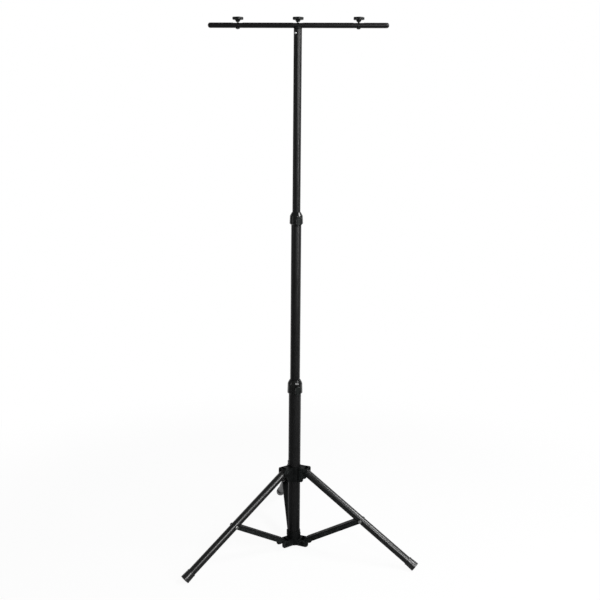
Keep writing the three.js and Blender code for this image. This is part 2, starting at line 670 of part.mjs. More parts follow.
// Socket: a spigot in the top tube, flaring into a saddle under the bar
function buildSocket() {
  const barRadius = bar.diameter / 2;
  const tubeOuter = topTube.diameter / 2;
  const spigotRadius = tubeOuter - topTube.wall - gap;
  const shoulder = barHeight - socket.shoulder;
  const spigotFoot = shoulder - socket.spigot;
  const saddleTop = barHeight - socket.saddleDrop;
  const flare = revolved([
    [0, spigotFoot], [spigotRadius, spigotFoot], [spigotRadius, shoulder], [tubeOuter, shoulder],
    [tubeOuter, shoulder + socket.shoulderWall], [socket.saddleLength / 2, saddleTop], [0, saddleTop],
  ], tubeSides);
  const saddleOuter = barRadius + gap + socket.wall;
  const keep = alongX(rod(saddleOuter, -socket.saddleLength, socket.saddleLength, tubeSides))
    .translate([0, 0, barHeight])
    .add(rod(tubeOuter, spigotFoot - overrun, saddleTop, tubeSides));
  const barPath = alongX(rod(barRadius + gap, -bar.length, bar.length, tubeSides))
    .translate([0, 0, barHeight]);
  const studBottom = barHeight - barRadius - fixtureStud.below;
  const studHole = rod(fixtureStud.diameter / 2 + gap * 2, studBottom - overrun, barHeight);
  const nutFloor = barHeight - barRadius - fixtureNut.proud - gap;
  const nutPocket = rod(nutRadius + gap * 2, nutFloor, barHeight, hiddenSides);
  const screwHeight = barHeight - socket.screwDrop;
  const screwRadius = socketScrew.diameter / 2;
  const screwInner = tubeOuter - socketScrew.depth;
  const screwHole = radialHole(
    screwRadius + gap, screwHeight, socket.screwAzimuth, topTube.diameter, screwInner - gap,
  );
  const saddle = flare
    .intersect(keep)
    .subtract(barPath)
    .subtract(studHole)
    .subtract(nutPocket)
    .subtract(screwHole);
  addPiece(stand, 't_bar_socket', saddle, 'blackSteel');

  const headSeat = tubeOuter + gap;
  const headTop = headSeat + socketScrew.headHeight;
  const headRadius = socketScrew.headDiameter / 2;
  const screw = revolved([
    [0, screwInner], [screwRadius, screwInner], [screwRadius, headSeat], [headRadius, headSeat],
    [headRadius, headSeat + socketScrew.headHeight / 2], [headRadius / 2, headTop], [0, headTop],
  ], smallSides);
  const recess = rod(
    socketScrew.recess / 2, headTop - socketScrew.recessDepth, headTop + overrun, fixtureNut.sides,
  );
  const placed = alongX(screw.subtract(recess))
    .rotate([0, 0, socket.screwAzimuth])
    .translate([0, 0, screwHeight]);
  addPiece(stand, 'socket_screw', placed, 'brightSteel');
}

// Rivets that hold the strut hub's neck on the base tube
function buildNeckRivets() {
  const foot = baseTube.diameter / 2 + gap;
  const thinned = (strutHub.wall - strutHub.neckWall) * neckRivet.heightShare;
  const seat = foot + strutHub.wall - thinned + gap * 2;
  legNames.forEach((name, index) => {
    const shape = revolved([
      [0, foot], [neckRivet.diameter / 2, foot], [neckRivet.diameter / 2, seat],
      [neckRivet.headDiameter / 2, seat], [neckRivet.headDiameter / 4, seat + neckRivet.headHeight],
      [0, seat + neckRivet.headHeight],
    ], smallSides);
    const placed = alongX(shape).rotate([0, 0, legAzimuth(index)]).translate([0, 0, neckRivetHeight]);
    addPiece(stand, `neck_rivet_${name}`, placed, 'blackSteel');
  });
}

buildBaseTube();
buildCollars();
buildSlidingTubes();
buildLegHub();
buildStrutHub();
buildNeckRivets();
buildTripod();
buildBar();
buildFixtureKnobs();
buildSocket();

export default stand;
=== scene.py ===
"""Looks of a folding lighting stand with a T-bar across its top.

Lengths are in metres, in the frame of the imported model: +Z up, the mast on the Z axis and
the T-bar along X.
"""

import json
import math

import bmesh
import bpy
from bpy.props import FloatProperty, FloatVectorProperty, IntProperty, PointerProperty
from mathutils import Matrix, Vector


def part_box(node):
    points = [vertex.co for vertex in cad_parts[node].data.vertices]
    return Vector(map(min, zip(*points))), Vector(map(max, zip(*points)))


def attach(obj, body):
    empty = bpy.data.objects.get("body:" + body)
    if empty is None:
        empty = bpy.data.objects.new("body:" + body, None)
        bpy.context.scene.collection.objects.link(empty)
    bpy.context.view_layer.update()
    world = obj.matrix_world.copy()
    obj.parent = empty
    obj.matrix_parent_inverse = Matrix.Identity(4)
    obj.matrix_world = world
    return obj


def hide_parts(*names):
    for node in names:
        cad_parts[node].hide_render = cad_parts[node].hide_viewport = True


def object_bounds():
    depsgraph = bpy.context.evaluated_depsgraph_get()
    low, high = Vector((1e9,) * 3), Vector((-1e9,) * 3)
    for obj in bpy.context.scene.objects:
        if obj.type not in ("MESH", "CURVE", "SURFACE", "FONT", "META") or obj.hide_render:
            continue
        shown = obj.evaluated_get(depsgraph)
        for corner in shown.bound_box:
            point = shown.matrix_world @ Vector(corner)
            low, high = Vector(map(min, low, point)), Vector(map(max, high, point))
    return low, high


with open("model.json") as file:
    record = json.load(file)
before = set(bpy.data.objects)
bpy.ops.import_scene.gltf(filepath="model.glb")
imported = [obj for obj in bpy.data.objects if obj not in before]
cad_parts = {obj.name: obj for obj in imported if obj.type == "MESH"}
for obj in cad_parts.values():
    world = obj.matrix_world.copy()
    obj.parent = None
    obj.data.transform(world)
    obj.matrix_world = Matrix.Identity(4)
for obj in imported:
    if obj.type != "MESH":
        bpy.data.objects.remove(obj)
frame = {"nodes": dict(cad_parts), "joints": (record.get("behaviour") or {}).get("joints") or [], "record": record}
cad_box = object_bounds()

bl_info = {
    "name": "Lighting T-bar stand",
    "version": (1, 0, 0),
    "blender": (4, 5, 0),
    "location": "View3D > Sidebar > Lighting stand",
    "description": "Dresses the packed model of a folding lighting stand with a T-bar",
    "category": "Object",
}

LEG_NAMES = ("rear", "left", "right")
FIXTURE_NAMES = ("left", "centre", "right")
BLACK_STEEL = ("leg_pivot_bolt", "strut_pin", "fixture_nut")

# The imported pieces' clearance to each other, and the fineness of the meshes
GAP = 0.0003
MERGE_DISTANCE = 1e-6
SMOOTH_LIMIT = math.radians(32)
NEARLY_STRAIGHT = math.radians(176)
SIDE_SHARE = 0.48
CORNER_STEPS = 4
BEND_STEPS = 6
CURVE_STEPS = 12
DOME_STEPS = 12
EDGE_SEGMENTS = 2
ROUND_PROFILE = 0.5
FINE_SIDES = 128
PLAIN_SIDES = 96
ROD_SIDES = 64
OVAL_SIDES = 64
LOBED_SIDES = 160
SCREW_SIDES = 48
RIVET_SIDES = 40
STUD_SIDES = 32
HEXAGON_SIDES = 6
RIVET_DOME_POINTS = 14
ROWS_PER_TURN = 6

# Grooves in a boot's sole, and the flat share of the socket screw's head
TREAD_GROOVES = 3
SCREW_FACE = 0.8

# Directions in the frame
UP = Vector((0.0, 0.0, 1.0))
ALONG_BAR = Vector((1.0, 0.0, 0.0))

# Softboxes: the place, the point that it faces, the width and the height of each
SOFTBOXES = {
    "key": ((2.05, -1.50, 1.38), (0.0, 0.0, 0.95), 0.7, 1.1),
    "high": ((1.66, -0.32, 2.25), (0.15, -0.05, 0.15), 1.0, 0.55),
    "front": ((1.36, -3.16, 2.03), (-0.19, -0.17, 0.08), 1.0, 0.8),
    "fill": ((-2.4, -1.2, 1.2), (0.0, 0.0, 0.7), 0.5, 1.2),
}

# The camera's sensor in millimetres, and the colour of the room
SENSOR_WIDTH = 36.0
WHITE = (1.0, 1.0, 1.0, 1.0)

# The Y up to which gloss sees the room dim, and the Y from which it sees white
FLOOR_FADE = (0.0, 0.9)
WORLD_FADE = (0.35, 0.85)

# The range in which most values of a noise lie
NOISE_LOW = 0.3
NOISE_HIGH = 0.7

# Strength of the orange peel on the tubes' coats
MAST_PEEL = 0.16
LEG_PEEL = 0.02

# Waves to the metre along each axis, for marks that run one way
RUBBED_ALONG = (2400.0, 9.0, 1.0)
TURNING_MARKS = (900.0, 900.0, 5200.0)

# Depths of the bumps, in metres
PEEL_DEPTH = 0.0004
COAT_GRAIN_DEPTH = 0.00012
FLOW_DEPTH = 0.0005
RUBBER_GRAIN_DEPTH = 0.00025
RUBBER_DENT_DEPTH = 0.0008
STEEL_MARK_DEPTH = 0.0001
STEEL_DENT_DEPTH = 0.0002

# Grain of each plastic, in waves to the metre, and its depth in metres
PLASTIC_GRAINS = {
    "collar_plastic": (2200.0, 0.00005),
    "knob_plastic": (1700.0, 0.00020),
    "cap_plastic": (1900.0, 0.00012),
    "guide_plastic": (1500.0, 0.00012),
}

# Heights between which dust gathers on the boots
DUST_STARTS = 0.012
DUST_IS_FULL = -0.010


# Properties that a user would change

def length(name, description, default):
    """A length property in metres."""
    return FloatProperty(
        name=name, description=description, default=default, min=0.0, unit="LENGTH", precision=5)


def degrees(name, description, default):
    """An angle property, with its default in degrees."""
    return FloatProperty(
        name=name, description=description, default=math.radians(default), subtype="ANGLE")


def lamp_power(name, description, default):
    """The power of a lamp in watts."""
    return FloatProperty(name=name, description=description, default=default, unit="POWER")


def colour(name, description, default):
    """A linear colour property."""
    return FloatVectorProperty(
        name=name, description=description, default=default, size=3, subtype="COLOR",
        min=0.0, max=1.0)


def share(name, description, default):
    """A share from nothing to all."""
    return FloatProperty(
        name=name, description=description, default=default, min=0.0, max=1.0, subtype="FACTOR")


def gloss(name, default):
    """The specular level of a finish."""
    return share(name, "Strength of the reflection; a half is that of common paint", default)


class StageSettings(bpy.types.PropertyGroup):
    """Camera, lamps and floor."""

    lens: FloatProperty(
        name="Lens", description="Focal length of the camera", default=54.0, unit="CAMERA")
    camera_place: FloatVectorProperty(
        name="Camera place", description="Where the camera stands",
        default=(0.1900, -2.4653, 1.2399), subtype="TRANSLATION")
    camera_pan: degrees("Camera pan", "Turn of the camera about the vertical", 4.125)
    camera_tilt: degrees("Camera tilt", "How far the camera looks down", 11.56)
    camera_roll: degrees("Camera roll", "Turn of the camera about its line of sight", 0.525)
    key_power: lamp_power("Key power", "Power of the softbox right of the mast", 33.0)
    high_power: lamp_power("High power", "Power of the high softbox on the right", 38.0)
    front_power: lamp_power("Front power", "Power of the softbox right of the camera", 50.0)
    fill_power: lamp_power("Fill power", "Power of the left-hand softbox", 3.0)
    room_light: share("Room light", "Strength of the light from all sides", 0.15)
    front_light: share(
        "Front light", "Brightness of the room's front as gloss shows it; its back is white", 0.20)
    floor_colour: colour("Floor colour", "Colour of the floor", (0.9, 0.9, 0.9))
    floor_shadow: share(
        "Floor shadow", "Share of the floor under the object that keeps its shadow", 0.06)
    shadow_reach: length(
        "Shadow reach", "Distance from the mast at which the floor is plain white", 1.6)
    floor_size: length("Floor size", "Side of the square floor", 14.0)


class FinishSettings(bpy.types.PropertyGroup):
    """Colours and gloss of every finish."""

    mast_colour: colour(
        "Mast coat", "Powder coat of the mast tubes and the T-bar", (0.0040, 0.0040, 0.0042))
    mast_roughness: share("Mast roughness", "Roughness of the mast's powder coat", 0.38)
    mast_gloss: gloss("Mast gloss", 0.30)
    leg_colour: colour("Leg coat", "Gloss coat of the legs", (0.0032, 0.0034, 0.0034))
    leg_roughness: share("Leg roughness", "Roughness of the legs' coat", 0.30)
    leg_gloss: gloss("Leg gloss", 0.54)
    bracket_colour: colour("Bracket coat", "Coat of the hubs and struts", (0.0028, 0.0032, 0.0032))
    bracket_roughness: share("Bracket roughness", "Roughness of the hubs and struts", 0.58)
    bracket_gloss: gloss("Bracket gloss", 0.09)
    collar_colour: colour("Collar plastic", "Moulded plastic of the collars", (0.0034, 0.0037, 0.0037))
    collar_roughness: share("Collar roughness", "Roughness of the collars", 0.20)
    collar_gloss: gloss("Collar gloss", 0.42)
    knob_colour: colour("Knob plastic", "Grained plastic of the knobs", (0.0062, 0.0078, 0.0074))
    knob_roughness: share("Knob roughness", "Roughness of the knobs", 0.38)
    knob_gloss: gloss("Knob gloss", 0.24)
    cap_colour: colour("Cap plastic", "Plastic of the caps and plugs", (0.0042, 0.0042, 0.0044))
    cap_roughness: share("Cap roughness", "Roughness of the caps", 0.32)
    cap_gloss: gloss("Cap gloss", 0.26)
    guide_colour: colour(
        "Guide plastic", "Plastic of the guides inside the tubes", (0.020, 0.021, 0.022))
    rubber_colour: colour("Boot rubber", "Rubber of the feet", (0.0050, 0.0053, 0.0053))
    rubber_roughness: share("Rubber roughness", "Roughness of the feet", 0.28)
    rubber_gloss: gloss("Rubber gloss", 0.66)
    steel_colour: colour("Bright steel", "Zinc-plated steel of screws and rivets", (0.46, 0.47, 0.48))
    steel_roughness: share("Steel roughness", "Roughness of the plated steel", 0.30)


class MastSettings(bpy.types.PropertyGroup):
    """Mast tubes, their guides and the foot cap."""

    base_wall: length("Base wall", "Wall of the base tube", 0.0015)
    middle_wall: length("Middle wall", "Wall of the middle tube", 0.0014)
    top_wall: length("Top wall", "Wall of the top tube", 0.0012)
    rim: length("Rim", "Rounding of the tubes' ends", 0.0004)
    cap_wall: length("Cap wall", "Wall of the foot cap", 0.0025)
    cap_edge: length("Cap edge", "Rounding of the foot cap", 0.0009)


class CollarSettings(bpy.types.PropertyGroup):
    """The clamp collars on the base tube and the middle tube."""

    lower_skirt: length("Lower skirt", "Height of the lower collar below its tube's end", 0.027)
    upper_skirt: length("Upper skirt", "Height of the upper collar below its tube's end", 0.024)
    lower_chamfer: length("Lower chamfer", "Chamfer under the lower collar", 0.002)
    upper_chamfer: length("Upper chamfer", "Chamfer under the upper collar", 0.0036)
    lower_taper: length("Lower taper", "How much the lower collar narrows to its shoulder", 0.0007)
    upper_taper: length("Upper taper", "How much the upper collar narrows to its shoulder", 0.0009)
    lower_mouth: length("Lower mouth", "Radius of the lower collar's top edge", 0.0157)
    upper_mouth: length("Upper mouth", "Radius of the upper collar's top edge", 0.0121)
    lower_shoulder: length("Lower shoulder", "How far the lower crown bulges upwards", 0.004)
    upper_shoulder: length("Upper shoulder", "How far the upper crown bulges upwards", 0.0015)
    liner: length("Liner", "Depth of the liner in the tubes", 0.030)
    edge: length("Edge", "Rounding of the collars' edges", 0.0007)
    boss_radius: length("Boss radius", "Radius of the bosses under the knobs", 0.0075)
    boss_proud: length("Boss height", "How far the bosses stand out", 0.0024)
    slit_width: length("Slit width", "Width of the split in the collars", 0.0012)
    slit_azimuth: degrees("Slit azimuth", "Where the split is", -104)


class KnobSettings(bpy.types.PropertyGroup):
    """The oval clamp knobs."""

    half_height: length("Half height", "Half of the knob's height", 0.012)
    half_width: length("Half width", "Half of the knob's width", 0.008)
    fullness: share("Fullness", "Exponent of the oval: one is an ellipse, less is fuller", 0.78)
    depth: length("Depth", "Depth of the knob's head", 0.010)
    neck_radius: length("Neck radius", "Radius of the neck behind the head", 0.0062)
    neck: length("Neck", "Length of the neck", 0.003)
    edge: length("Edge", "Rounding of the knob's edges", 0.0019)
    rim: length("Rim", "Width of the rim round the face", 0.0012)
    face_depth: length("Face depth", "How far the face lies below the rim", 0.0005)


class LegHubSettings(bpy.types.PropertyGroup):
    """The hub that slides on the base tube and carries the legs."""

    wall: length("Wall", "Wall of the sleeve", 0.0026)
    lip: length("Lip", "Extra radius of the sleeve's rolled rims", 0.0006)
    lip_height: length("Lip height", "Height of the rolled rims", 0.0022)
    arm_reach: length("Arm reach", "Reach of the arms from the mast's axis", 0.046)
    arm_wall: length("Arm wall", "Thickness of the arms' cheeks", 0.0025)
    arm_inside: length("Arm inside", "Half of the space between the cheeks", 0.0116)
    lobe_reach: length("Lobe reach", "Reach of the lobe under the arms", 0.031)
    lobe_drop: length("Lobe drop", "Height of the lobe's round corner", 0.006)
    arm_floor: length("Arm floor", "Height of the arms' lower edge above the hub's foot", 0.0195)
    corner: length("Corner", "Rounding of the arms' corners", 0.004)
    band: length("Band", "Width of the band across each arm's end", 0.003)
    band_height: length("Band height", "Height of the bands", 0.0026)
    web_reach: length("Web reach", "Reach of the webs that close the arms by the mast", 0.033)
    web_drop: length("Web drop", "Drop of the webs below the arms' upper edge", 0.0008)
    web_wall: length("Web wall", "Thickness of the webs", 0.0017)
    edge: length("Edge", "Rounding of the sheet's edges", 0.0005)


class StrutHubSettings(bpy.types.PropertyGroup):
    """The hub at the foot of the mast that carries the struts."""

    top: length("Top", "Height of the arms", 0.020)
    neck: length("Neck", "Height of the conical neck", 0.022)
    neck_wall: length("Neck wall", "Wall at the neck's top", 0.001)
    wall: length("Wall", "Wall of the sleeve", 0.0026)
    arm_reach: length("Arm reach", "Reach of the arms from the mast's axis", 0.052)
    arm_wall: length("Arm wall", "Thickness of the arms' cheeks", 0.002)
    arm_inside: length("Arm inside", "Half of the space between the cheeks", 0.0132)
    corner: length("Corner", "Rounding of the arms' upper corners", 0.005)
    toe: length("Toe", "Rounding of the arms' lower corners", 0.012)
    web_reach: length("Web reach", "Reach of the webs that close the arms by the mast", 0.0250)
    web_drop: length("Web drop", "Drop of the webs below the arms' upper edge", 0.0006)
    edge: length("Edge", "Rounding of the sheet's edges", 0.0004)


class LegSettings(bpy.types.PropertyGroup):
    """Leg tubes with their plugs and boots."""

    radius: length("Radius", "Outer radius of the leg tubes", 0.011)
    wall: length("Wall", "Wall of the leg tubes", 0.0012)
    reach: length("Reach", "Length from the pivot to the boot's sole", 0.401)
    headroom: length("Headroom", "How far the tube goes on above the pivot", 0.0052)
    plug_head: length("Plug head", "Height of the plug's head", 0.0016)
    plug_depth: length("Plug depth", "Depth of the plug in the tube", 0.018)
    plug_wall: length("Plug wall", "Wall of the plug", 0.0022)
    boot_length: length("Boot length", "Length of the boot", 0.027)
    sole_radius: length("Sole radius", "Radius of the boot at its sole", 0.0135)
    boot_top: length("Boot top", "Radius of the boot below its lip", 0.0122)
    boot_waist: length("Boot waist", "Radius of the boot halfway up", 0.01279)
    sole: length("Sole", "Thickness of the boot's sole", 0.006)
    lip: length("Lip", "Height of the boot's lip", 0.0024)
    lip_proud: length("Lip width", "How far the boot's lip stands out", 0.0007)
    tread: length("Tread", "Depth of the grooves in the sole", 0.0008)


class StrutSettings(bpy.types.PropertyGroup):
    """Channel struts between the lower hub and the legs."""

    inside: length("Inside", "Half of the space between the cheeks", 0.0114)
    wall: length("Wall", "Thickness of the sheet", 0.0015)
    web_height: length("Web height", "Height of the web above the pivots", 0.0093)
    lip: length("Lip", "Depth of the cheeks below the pivots", 0.0046)
    nose: length("Nose", "Reach of the round ends past the pivots", 0.007)
    shoulder: length("Shoulder", "Height of the ends above the pivots", 0.006)
    web_start: length("Web start", "Where the web starts", 0.014)
    web_end: length("Web end", "How far the web ends before the outer pivot", 0.036)
    bend: length("Bend", "Outer radius of the channel's bends", 0.0021)
    edge: length("Edge", "Rounding of the sheet's edges", 0.0003)


class FastenerSettings(bpy.types.PropertyGroup):
    """Rivets, pins and bolts."""

    pivot_head: length("Pivot head", "Diameter of the leg pivots' heads", 0.011)
    pivot_height: length("Pivot head height", "Height of the leg pivots' heads", 0.0024)
    pivot_shank: length("Pivot shank", "Diameter of the leg pivots", 0.006)
    pin_head: length("Pin head", "Diameter of the strut pins' heads", 0.010)
    pin_height: length("Pin head height", "Height of the strut pins' heads", 0.002)
    pin_shank: length("Pin shank", "Diameter of the strut pins", 0.006)
    rivet_head: length("Rivet head", "Diameter of the strut rivets' heads", 0.010)
    rivet_height: length("Rivet head height", "Height of the strut rivets' heads", 0.0022)
    rivet_shank: length("Rivet shank", "Diameter of the strut rivets", 0.005)
    neck_head: length("Neck head", "Diameter of the neck rivets' heads", 0.007)
    neck_height: length("Neck head height", "Height of the neck rivets' heads", 0.0014)
    neck_shank: length("Neck shank", "Diameter of the neck rivets", 0.004)
    rim: length("Rim", "Straight edge under each dome", 0.0005)


class BarSettings(bpy.types.PropertyGroup):
    """The T-bar with its caps and nuts."""

    radius: length("Radius", "Outer radius of the bar", 0.007)
    wall: length("Wall", "Wall of the bar", 0.002)
    flat_length: length("Flat length", "Length of the flats under the fixtures", 0.027)
    flat_depth: length("Flat depth", "Depth of the flats", 0.001)
    cap_head: length("Cap head", "Length of the end caps' domes", 0.006)
    cap_tip: length("Cap tip", "Radius of the flat on the domes", 0.0008)
    cap_spigot: length("Cap spigot", "Depth of the caps in the bar", 0.014)
    nut_flats: length("Nut width", "Width of the nuts across their flats", 0.010)
    nut_proud: length("Nut height", "How far the nuts stand below the bar", 0.002)
    nut_rise: length("Nut rise", "How far the nuts reach up the bar's side", 0.003)
    nut_chamfer: length("Nut chamfer", "Chamfer of the nuts' corners", 0.0007)
    hole_radius: length("Hole radius", "Radius of the holes for the studs", 0.0033)


class SocketSettings(bpy.types.PropertyGroup):
    """The socket that carries the bar on the top tube."""

    shoulder: length("Shoulder", "Drop of the socket's shoulder below the bar's axis", 0.0094)
    spigot: length("Spigot", "Depth of the socket in the tube", 0.037)
    spigot_radius: length("Spigot radius", "Radius of the spigot", 0.0095)
    shoulder_wall: length("Shoulder wall", "Height of the shoulder's rim", 0.001)
    saddle_length: length("Saddle length", "Length of the saddle along the bar", 0.023)
    saddle_drop: length("Saddle drop", "Drop of the saddle's rim below the bar's axis", 0.0042)
    wall: length("Wall", "Wall of the saddle", 0.0016)
    edge: length("Edge", "Rounding of the socket's edges", 0.0005)
    screw_drop: length("Screw drop", "Drop of the screw below the bar's axis", 0.020)
    screw_head: length("Screw head", "Radius of the screw's head", 0.0035)
    screw_height: length("Screw height", "Height of the screw's head", 0.002)
    screw_radius: length("Screw radius", "Radius of the screw", 0.002)
    screw_depth: length("Screw depth", "Depth of the screw", 0.0045)
    recess: length("Recess", "Radius of the hexagon recess", 0.0016)
    recess_depth: length("Recess depth", "Depth of the hexagon recess", 0.001)


class FixtureKnobSettings(bpy.types.PropertyGroup):
    """The lobed knobs that clamp the fixtures, on their threaded studs."""

    radius: length("Radius", "Radius of the lobes' tips", 0.015)
    lobes: IntProperty(name="Lobes", description="Number of lobes", default=5, min=3)
    lobe_depth: length("Lobe depth", "Depth of the hollows between the lobes", 0.0026)
    head: length("Head", "Height of the lobed head", 0.007)
    edge: length("Edge", "Rounding of the head's rims", 0.0017)
    neck_radius: length("Neck radius", "Radius of the neck under the head", 0.00775)
    neck_tip: length("Neck tip", "Radius of the neck's foot", 0.0044)
    dish_radius: length("Dish radius", "Radius of the dish in the top", 0.0065)
    dish: length("Dish", "Depth of the dish", 0.0012)
    stud_in_knob: length("Stud in knob", "Depth of the stud in the head", 0.0044)
    thread_pitch: length("Thread pitch", "Pitch of the studs' thread", 0.001)
    thread_depth: length("Thread depth", "Depth of the studs' thread", 0.0005)


# Shader building

class Shading:
    """A material under construction, with short calls for the nodes that finishes share."""

    def __init__(self, name):
        self.material = bpy.data.materials.new(name)
        self.material.use_nodes = True
        self.tree = self.material.node_tree
        self.tree.nodes.clear()
        self.output = self.tree.nodes.new("ShaderNodeOutputMaterial")
        self.bsdf = self.tree.nodes.new("ShaderNodeBsdfPrincipled")
        self.tree.links.new(self.bsdf.outputs["BSDF"], self.output.inputs["Surface"])
        self.coordinates = self.tree.nodes.new("ShaderNodeTexCoord")

    def node(self, kind, **inputs):
        """A new node, with its inputs set by name."""
        made = self.tree.nodes.new(kind)
        for name, value in inputs.items():
            made.inputs[name].default_value = value
        return made

    def link(self, source, target):
        self.tree.links.new(source, target)

    def stretched(self, source, scale):
        """Coordinates stretched so that a pattern runs along one way."""
        mapping = self.node("ShaderNodeMapping", Scale=scale)
        self.link(self.coordinates.outputs[source], mapping.inputs["Vector"])
        return mapping.outputs["Vector"]

    def noise(self, scale, detail=2.0, vector=None, roughness=0.5):
        """Noise with a number of waves to the metre, on the object unless a vector is given."""
        made = self.node("ShaderNodeTexNoise", Scale=scale, Detail=detail, Roughness=roughness)
        self.link(vector or self.coordinates.outputs["Object"], made.inputs["Vector"])
        return made.outputs["Fac"]

    def ramp(self, value, low, high, bottom=0.0, top=1.0):
        """A value between two limits, stretched to run from the bottom to the top."""
        limits = {"From Min": low, "From Max": high, "To Min": bottom, "To Max": top}
        made = self.node("ShaderNodeMapRange", **limits)
        self.link(value, made.inputs["Value"])
        return made.outputs["Result"]

    def times(self, first, second):
        """The product of two sockets."""
        made = self.tree.nodes.new("ShaderNodeMath")
        made.operation = "MULTIPLY"
        self.link(first, made.inputs[0])
        self.link(second, made.inputs[1])
        return made.outputs["Value"]

    def mixed(self, amount, first, second):
        """A colour between two others; each is a colour or a socket."""
        made = self.tree.nodes.new("ShaderNodeMix")
        made.data_type = "RGBA"
        self.link(amount, made.inputs["Factor"])
        for socket, value in ((made.inputs[6], first), (made.inputs[7], second)):
            if isinstance(value, bpy.types.NodeSocket):
                self.link(value, socket)
            else:
                socket.default_value = (*value, 1.0)
        return made.outputs[2]

    def bumps(self, *heights):
        """Bump nodes in a row, from (height socket, strength, distance) triples."""
        normal = None
        for height, strength, distance in heights:
            made = self.node("ShaderNodeBump", Strength=strength, Distance=distance)
            self.link(height, made.inputs["Height"])
            if normal is not None:
                self.link(normal, made.inputs["Normal"])
            normal = made.outputs["Normal"]
        self.link(normal, self.bsdf.inputs["Normal"])

    def clouded(self, pattern, base, darkest, palest, low=NOISE_LOW, high=NOISE_HIGH):
        """The base colour, varied by a pattern between two factors."""
        amount = self.ramp(pattern, low, high)
        return self.mixed(amount, lighter(base, darkest), lighter(base, palest))

    def uneven(self, pattern, roughness, least, most):
        """The roughness, varied by a pattern between two factors."""
        return self.ramp(pattern, NOISE_LOW, NOISE_HIGH, roughness * least, roughness * most)

    def finish(self, colour_socket, roughness_socket, **inputs):
        """The material, with its colour and roughness linked and other inputs set by name."""
        self.link(colour_socket, self.bsdf.inputs["Base Color"])
        self.link(roughness_socket, self.bsdf.inputs["Roughness"])
        for name, value in inputs.items():
            self.bsdf.inputs[name].default_value = value
        return self.material


def lighter(base, factor):
    """A colour times a factor, which is under one for a darker colour."""
    return tuple(min(1.0, value * factor) for value in base)


def reflecting(level):
    """The input of the shader that sets how strongly a finish reflects."""
    return {"Specular IOR Level": level}


def coated_tube(name, base, roughness, reflection, peel_strength):
    """Sprayed coat on tube: orange peel, faint clouds and fine lines rubbed along the tube."""
    shading = Shading(name)
    clouds = shading.noise(scale=22.0, detail=3.0)
    peel = shading.noise(scale=620.0, detail=1.0)
    grain = shading.noise(scale=2600.0)
    along_tube = shading.stretched("UV", RUBBED_ALONG)
    rubbed = shading.noise(scale=1.0, detail=3.0, vector=along_tube, roughness=0.6)
    lines = shading.ramp(rubbed, low=0.60, high=0.72)
    worn = shading.times(lines, shading.ramp(clouds, low=0.3, high=0.8, top=0.5))
    tone = shading.clouded(clouds, base, darkest=0.88, palest=1.22, low=0.35, high=0.65)
    tone = shading.mixed(worn, tone, lighter(base, 2.2))
    rough = shading.uneven(clouds, roughness, least=0.92, most=1.08)
    shading.bumps(
        (peel, peel_strength, PEEL_DEPTH), (grain, peel_strength / 2, COAT_GRAIN_DEPTH))
    return shading.finish(tone, rough, **reflecting(reflection))


def coated_bracket(name, base, roughness, reflection):
    """Coat on pressed steel: thin on the edges, where it has rubbed lighter."""
    shading = Shading(name)
    clouds = shading.noise(scale=60.0, detail=4.0)
    peel = shading.noise(scale=780.0, detail=1.0)
    grain = shading.noise(scale=2400.0)
    shape = shading.tree.nodes.new("ShaderNodeNewGeometry")
    edges = shading.ramp(shape.outputs["Pointiness"], low=0.515, high=0.56)
    patches = shading.ramp(shading.noise(scale=320.0, detail=3.0), low=0.42, high=0.62)
    worn = shading.times(edges, patches)
    tone = shading.clouded(clouds, base, darkest=0.85, palest=1.3)
    tone = shading.mixed(worn, tone, lighter(base, 6.0))
    rough = shading.uneven(clouds, roughness, least=0.85, most=1.15)
    shading.bumps((peel, 0.20, PEEL_DEPTH), (grain, 0.12, COAT_GRAIN_DEPTH))
    return shading.finish(tone, rough, **reflecting(reflection))


def moulded_plastic(name, base, roughness, reflection):
    """Moulded plastic with its spark-eroded grain, flow clouds and a little dust."""
    shading = Shading(name)
    grain_scale, grain_depth = PLASTIC_GRAINS[name]
    flow = shading.noise(scale=45.0, detail=3.0)
    grain = shading.noise(scale=grain_scale)
    unevenness = shading.noise(scale=170.0, detail=1.0)
    specks = shading.noise(scale=1500.0, detail=4.0, roughness=0.7)
    dust = shading.times(
        shading.ramp(specks, low=0.62, high=0.74), shading.ramp(flow, low=0.4, high=0.8, top=0.5))
    tone = shading.clouded(flow, base, darkest=0.86, palest=1.2, low=0.35, high=0.65)
    tone = shading.mixed(dust, tone, lighter(base, 3.5))
    rough = shading.uneven(flow, roughness, least=0.88, most=1.15)
    shading.bumps((grain, 0.22, grain_depth), (unevenness, 0.05, FLOW_DEPTH))
    return shading.finish(tone, rough, **reflecting(reflection))


def boot_rubber(name, base, roughness, reflection):
    """Rubber with a chalky bloom and dust that thickens towards the floor."""
    shading = Shading(name)
    clouds = shading.noise(scale=70.0, detail=4.0)
    grain = shading.noise(scale=1700.0, detail=3.0)
    specks = shading.noise(scale=420.0, detail=5.0, roughness=0.7)
    separate = shading.tree.nodes.new("ShaderNodeSeparateXYZ")
    shading.link(shading.coordinates.outputs["Object"], separate.inputs["Vector"])
    near_floor = shading.ramp(separate.outputs["Z"], low=DUST_STARTS, high=DUST_IS_FULL)
    dust = shading.times(near_floor, shading.ramp(specks, low=0.40, high=0.70))
    tone = shading.clouded(clouds, base, darkest=0.85, palest=1.5)
    tone = shading.mixed(dust, tone, lighter(base, 4.5))
    rough = shading.uneven(clouds, roughness, least=0.9, most=1.15)
    shading.bumps((grain, 0.30, RUBBER_GRAIN_DEPTH), (clouds, 0.08, RUBBER_DENT_DEPTH))
    return shading.finish(tone, rough, **reflecting(reflection))


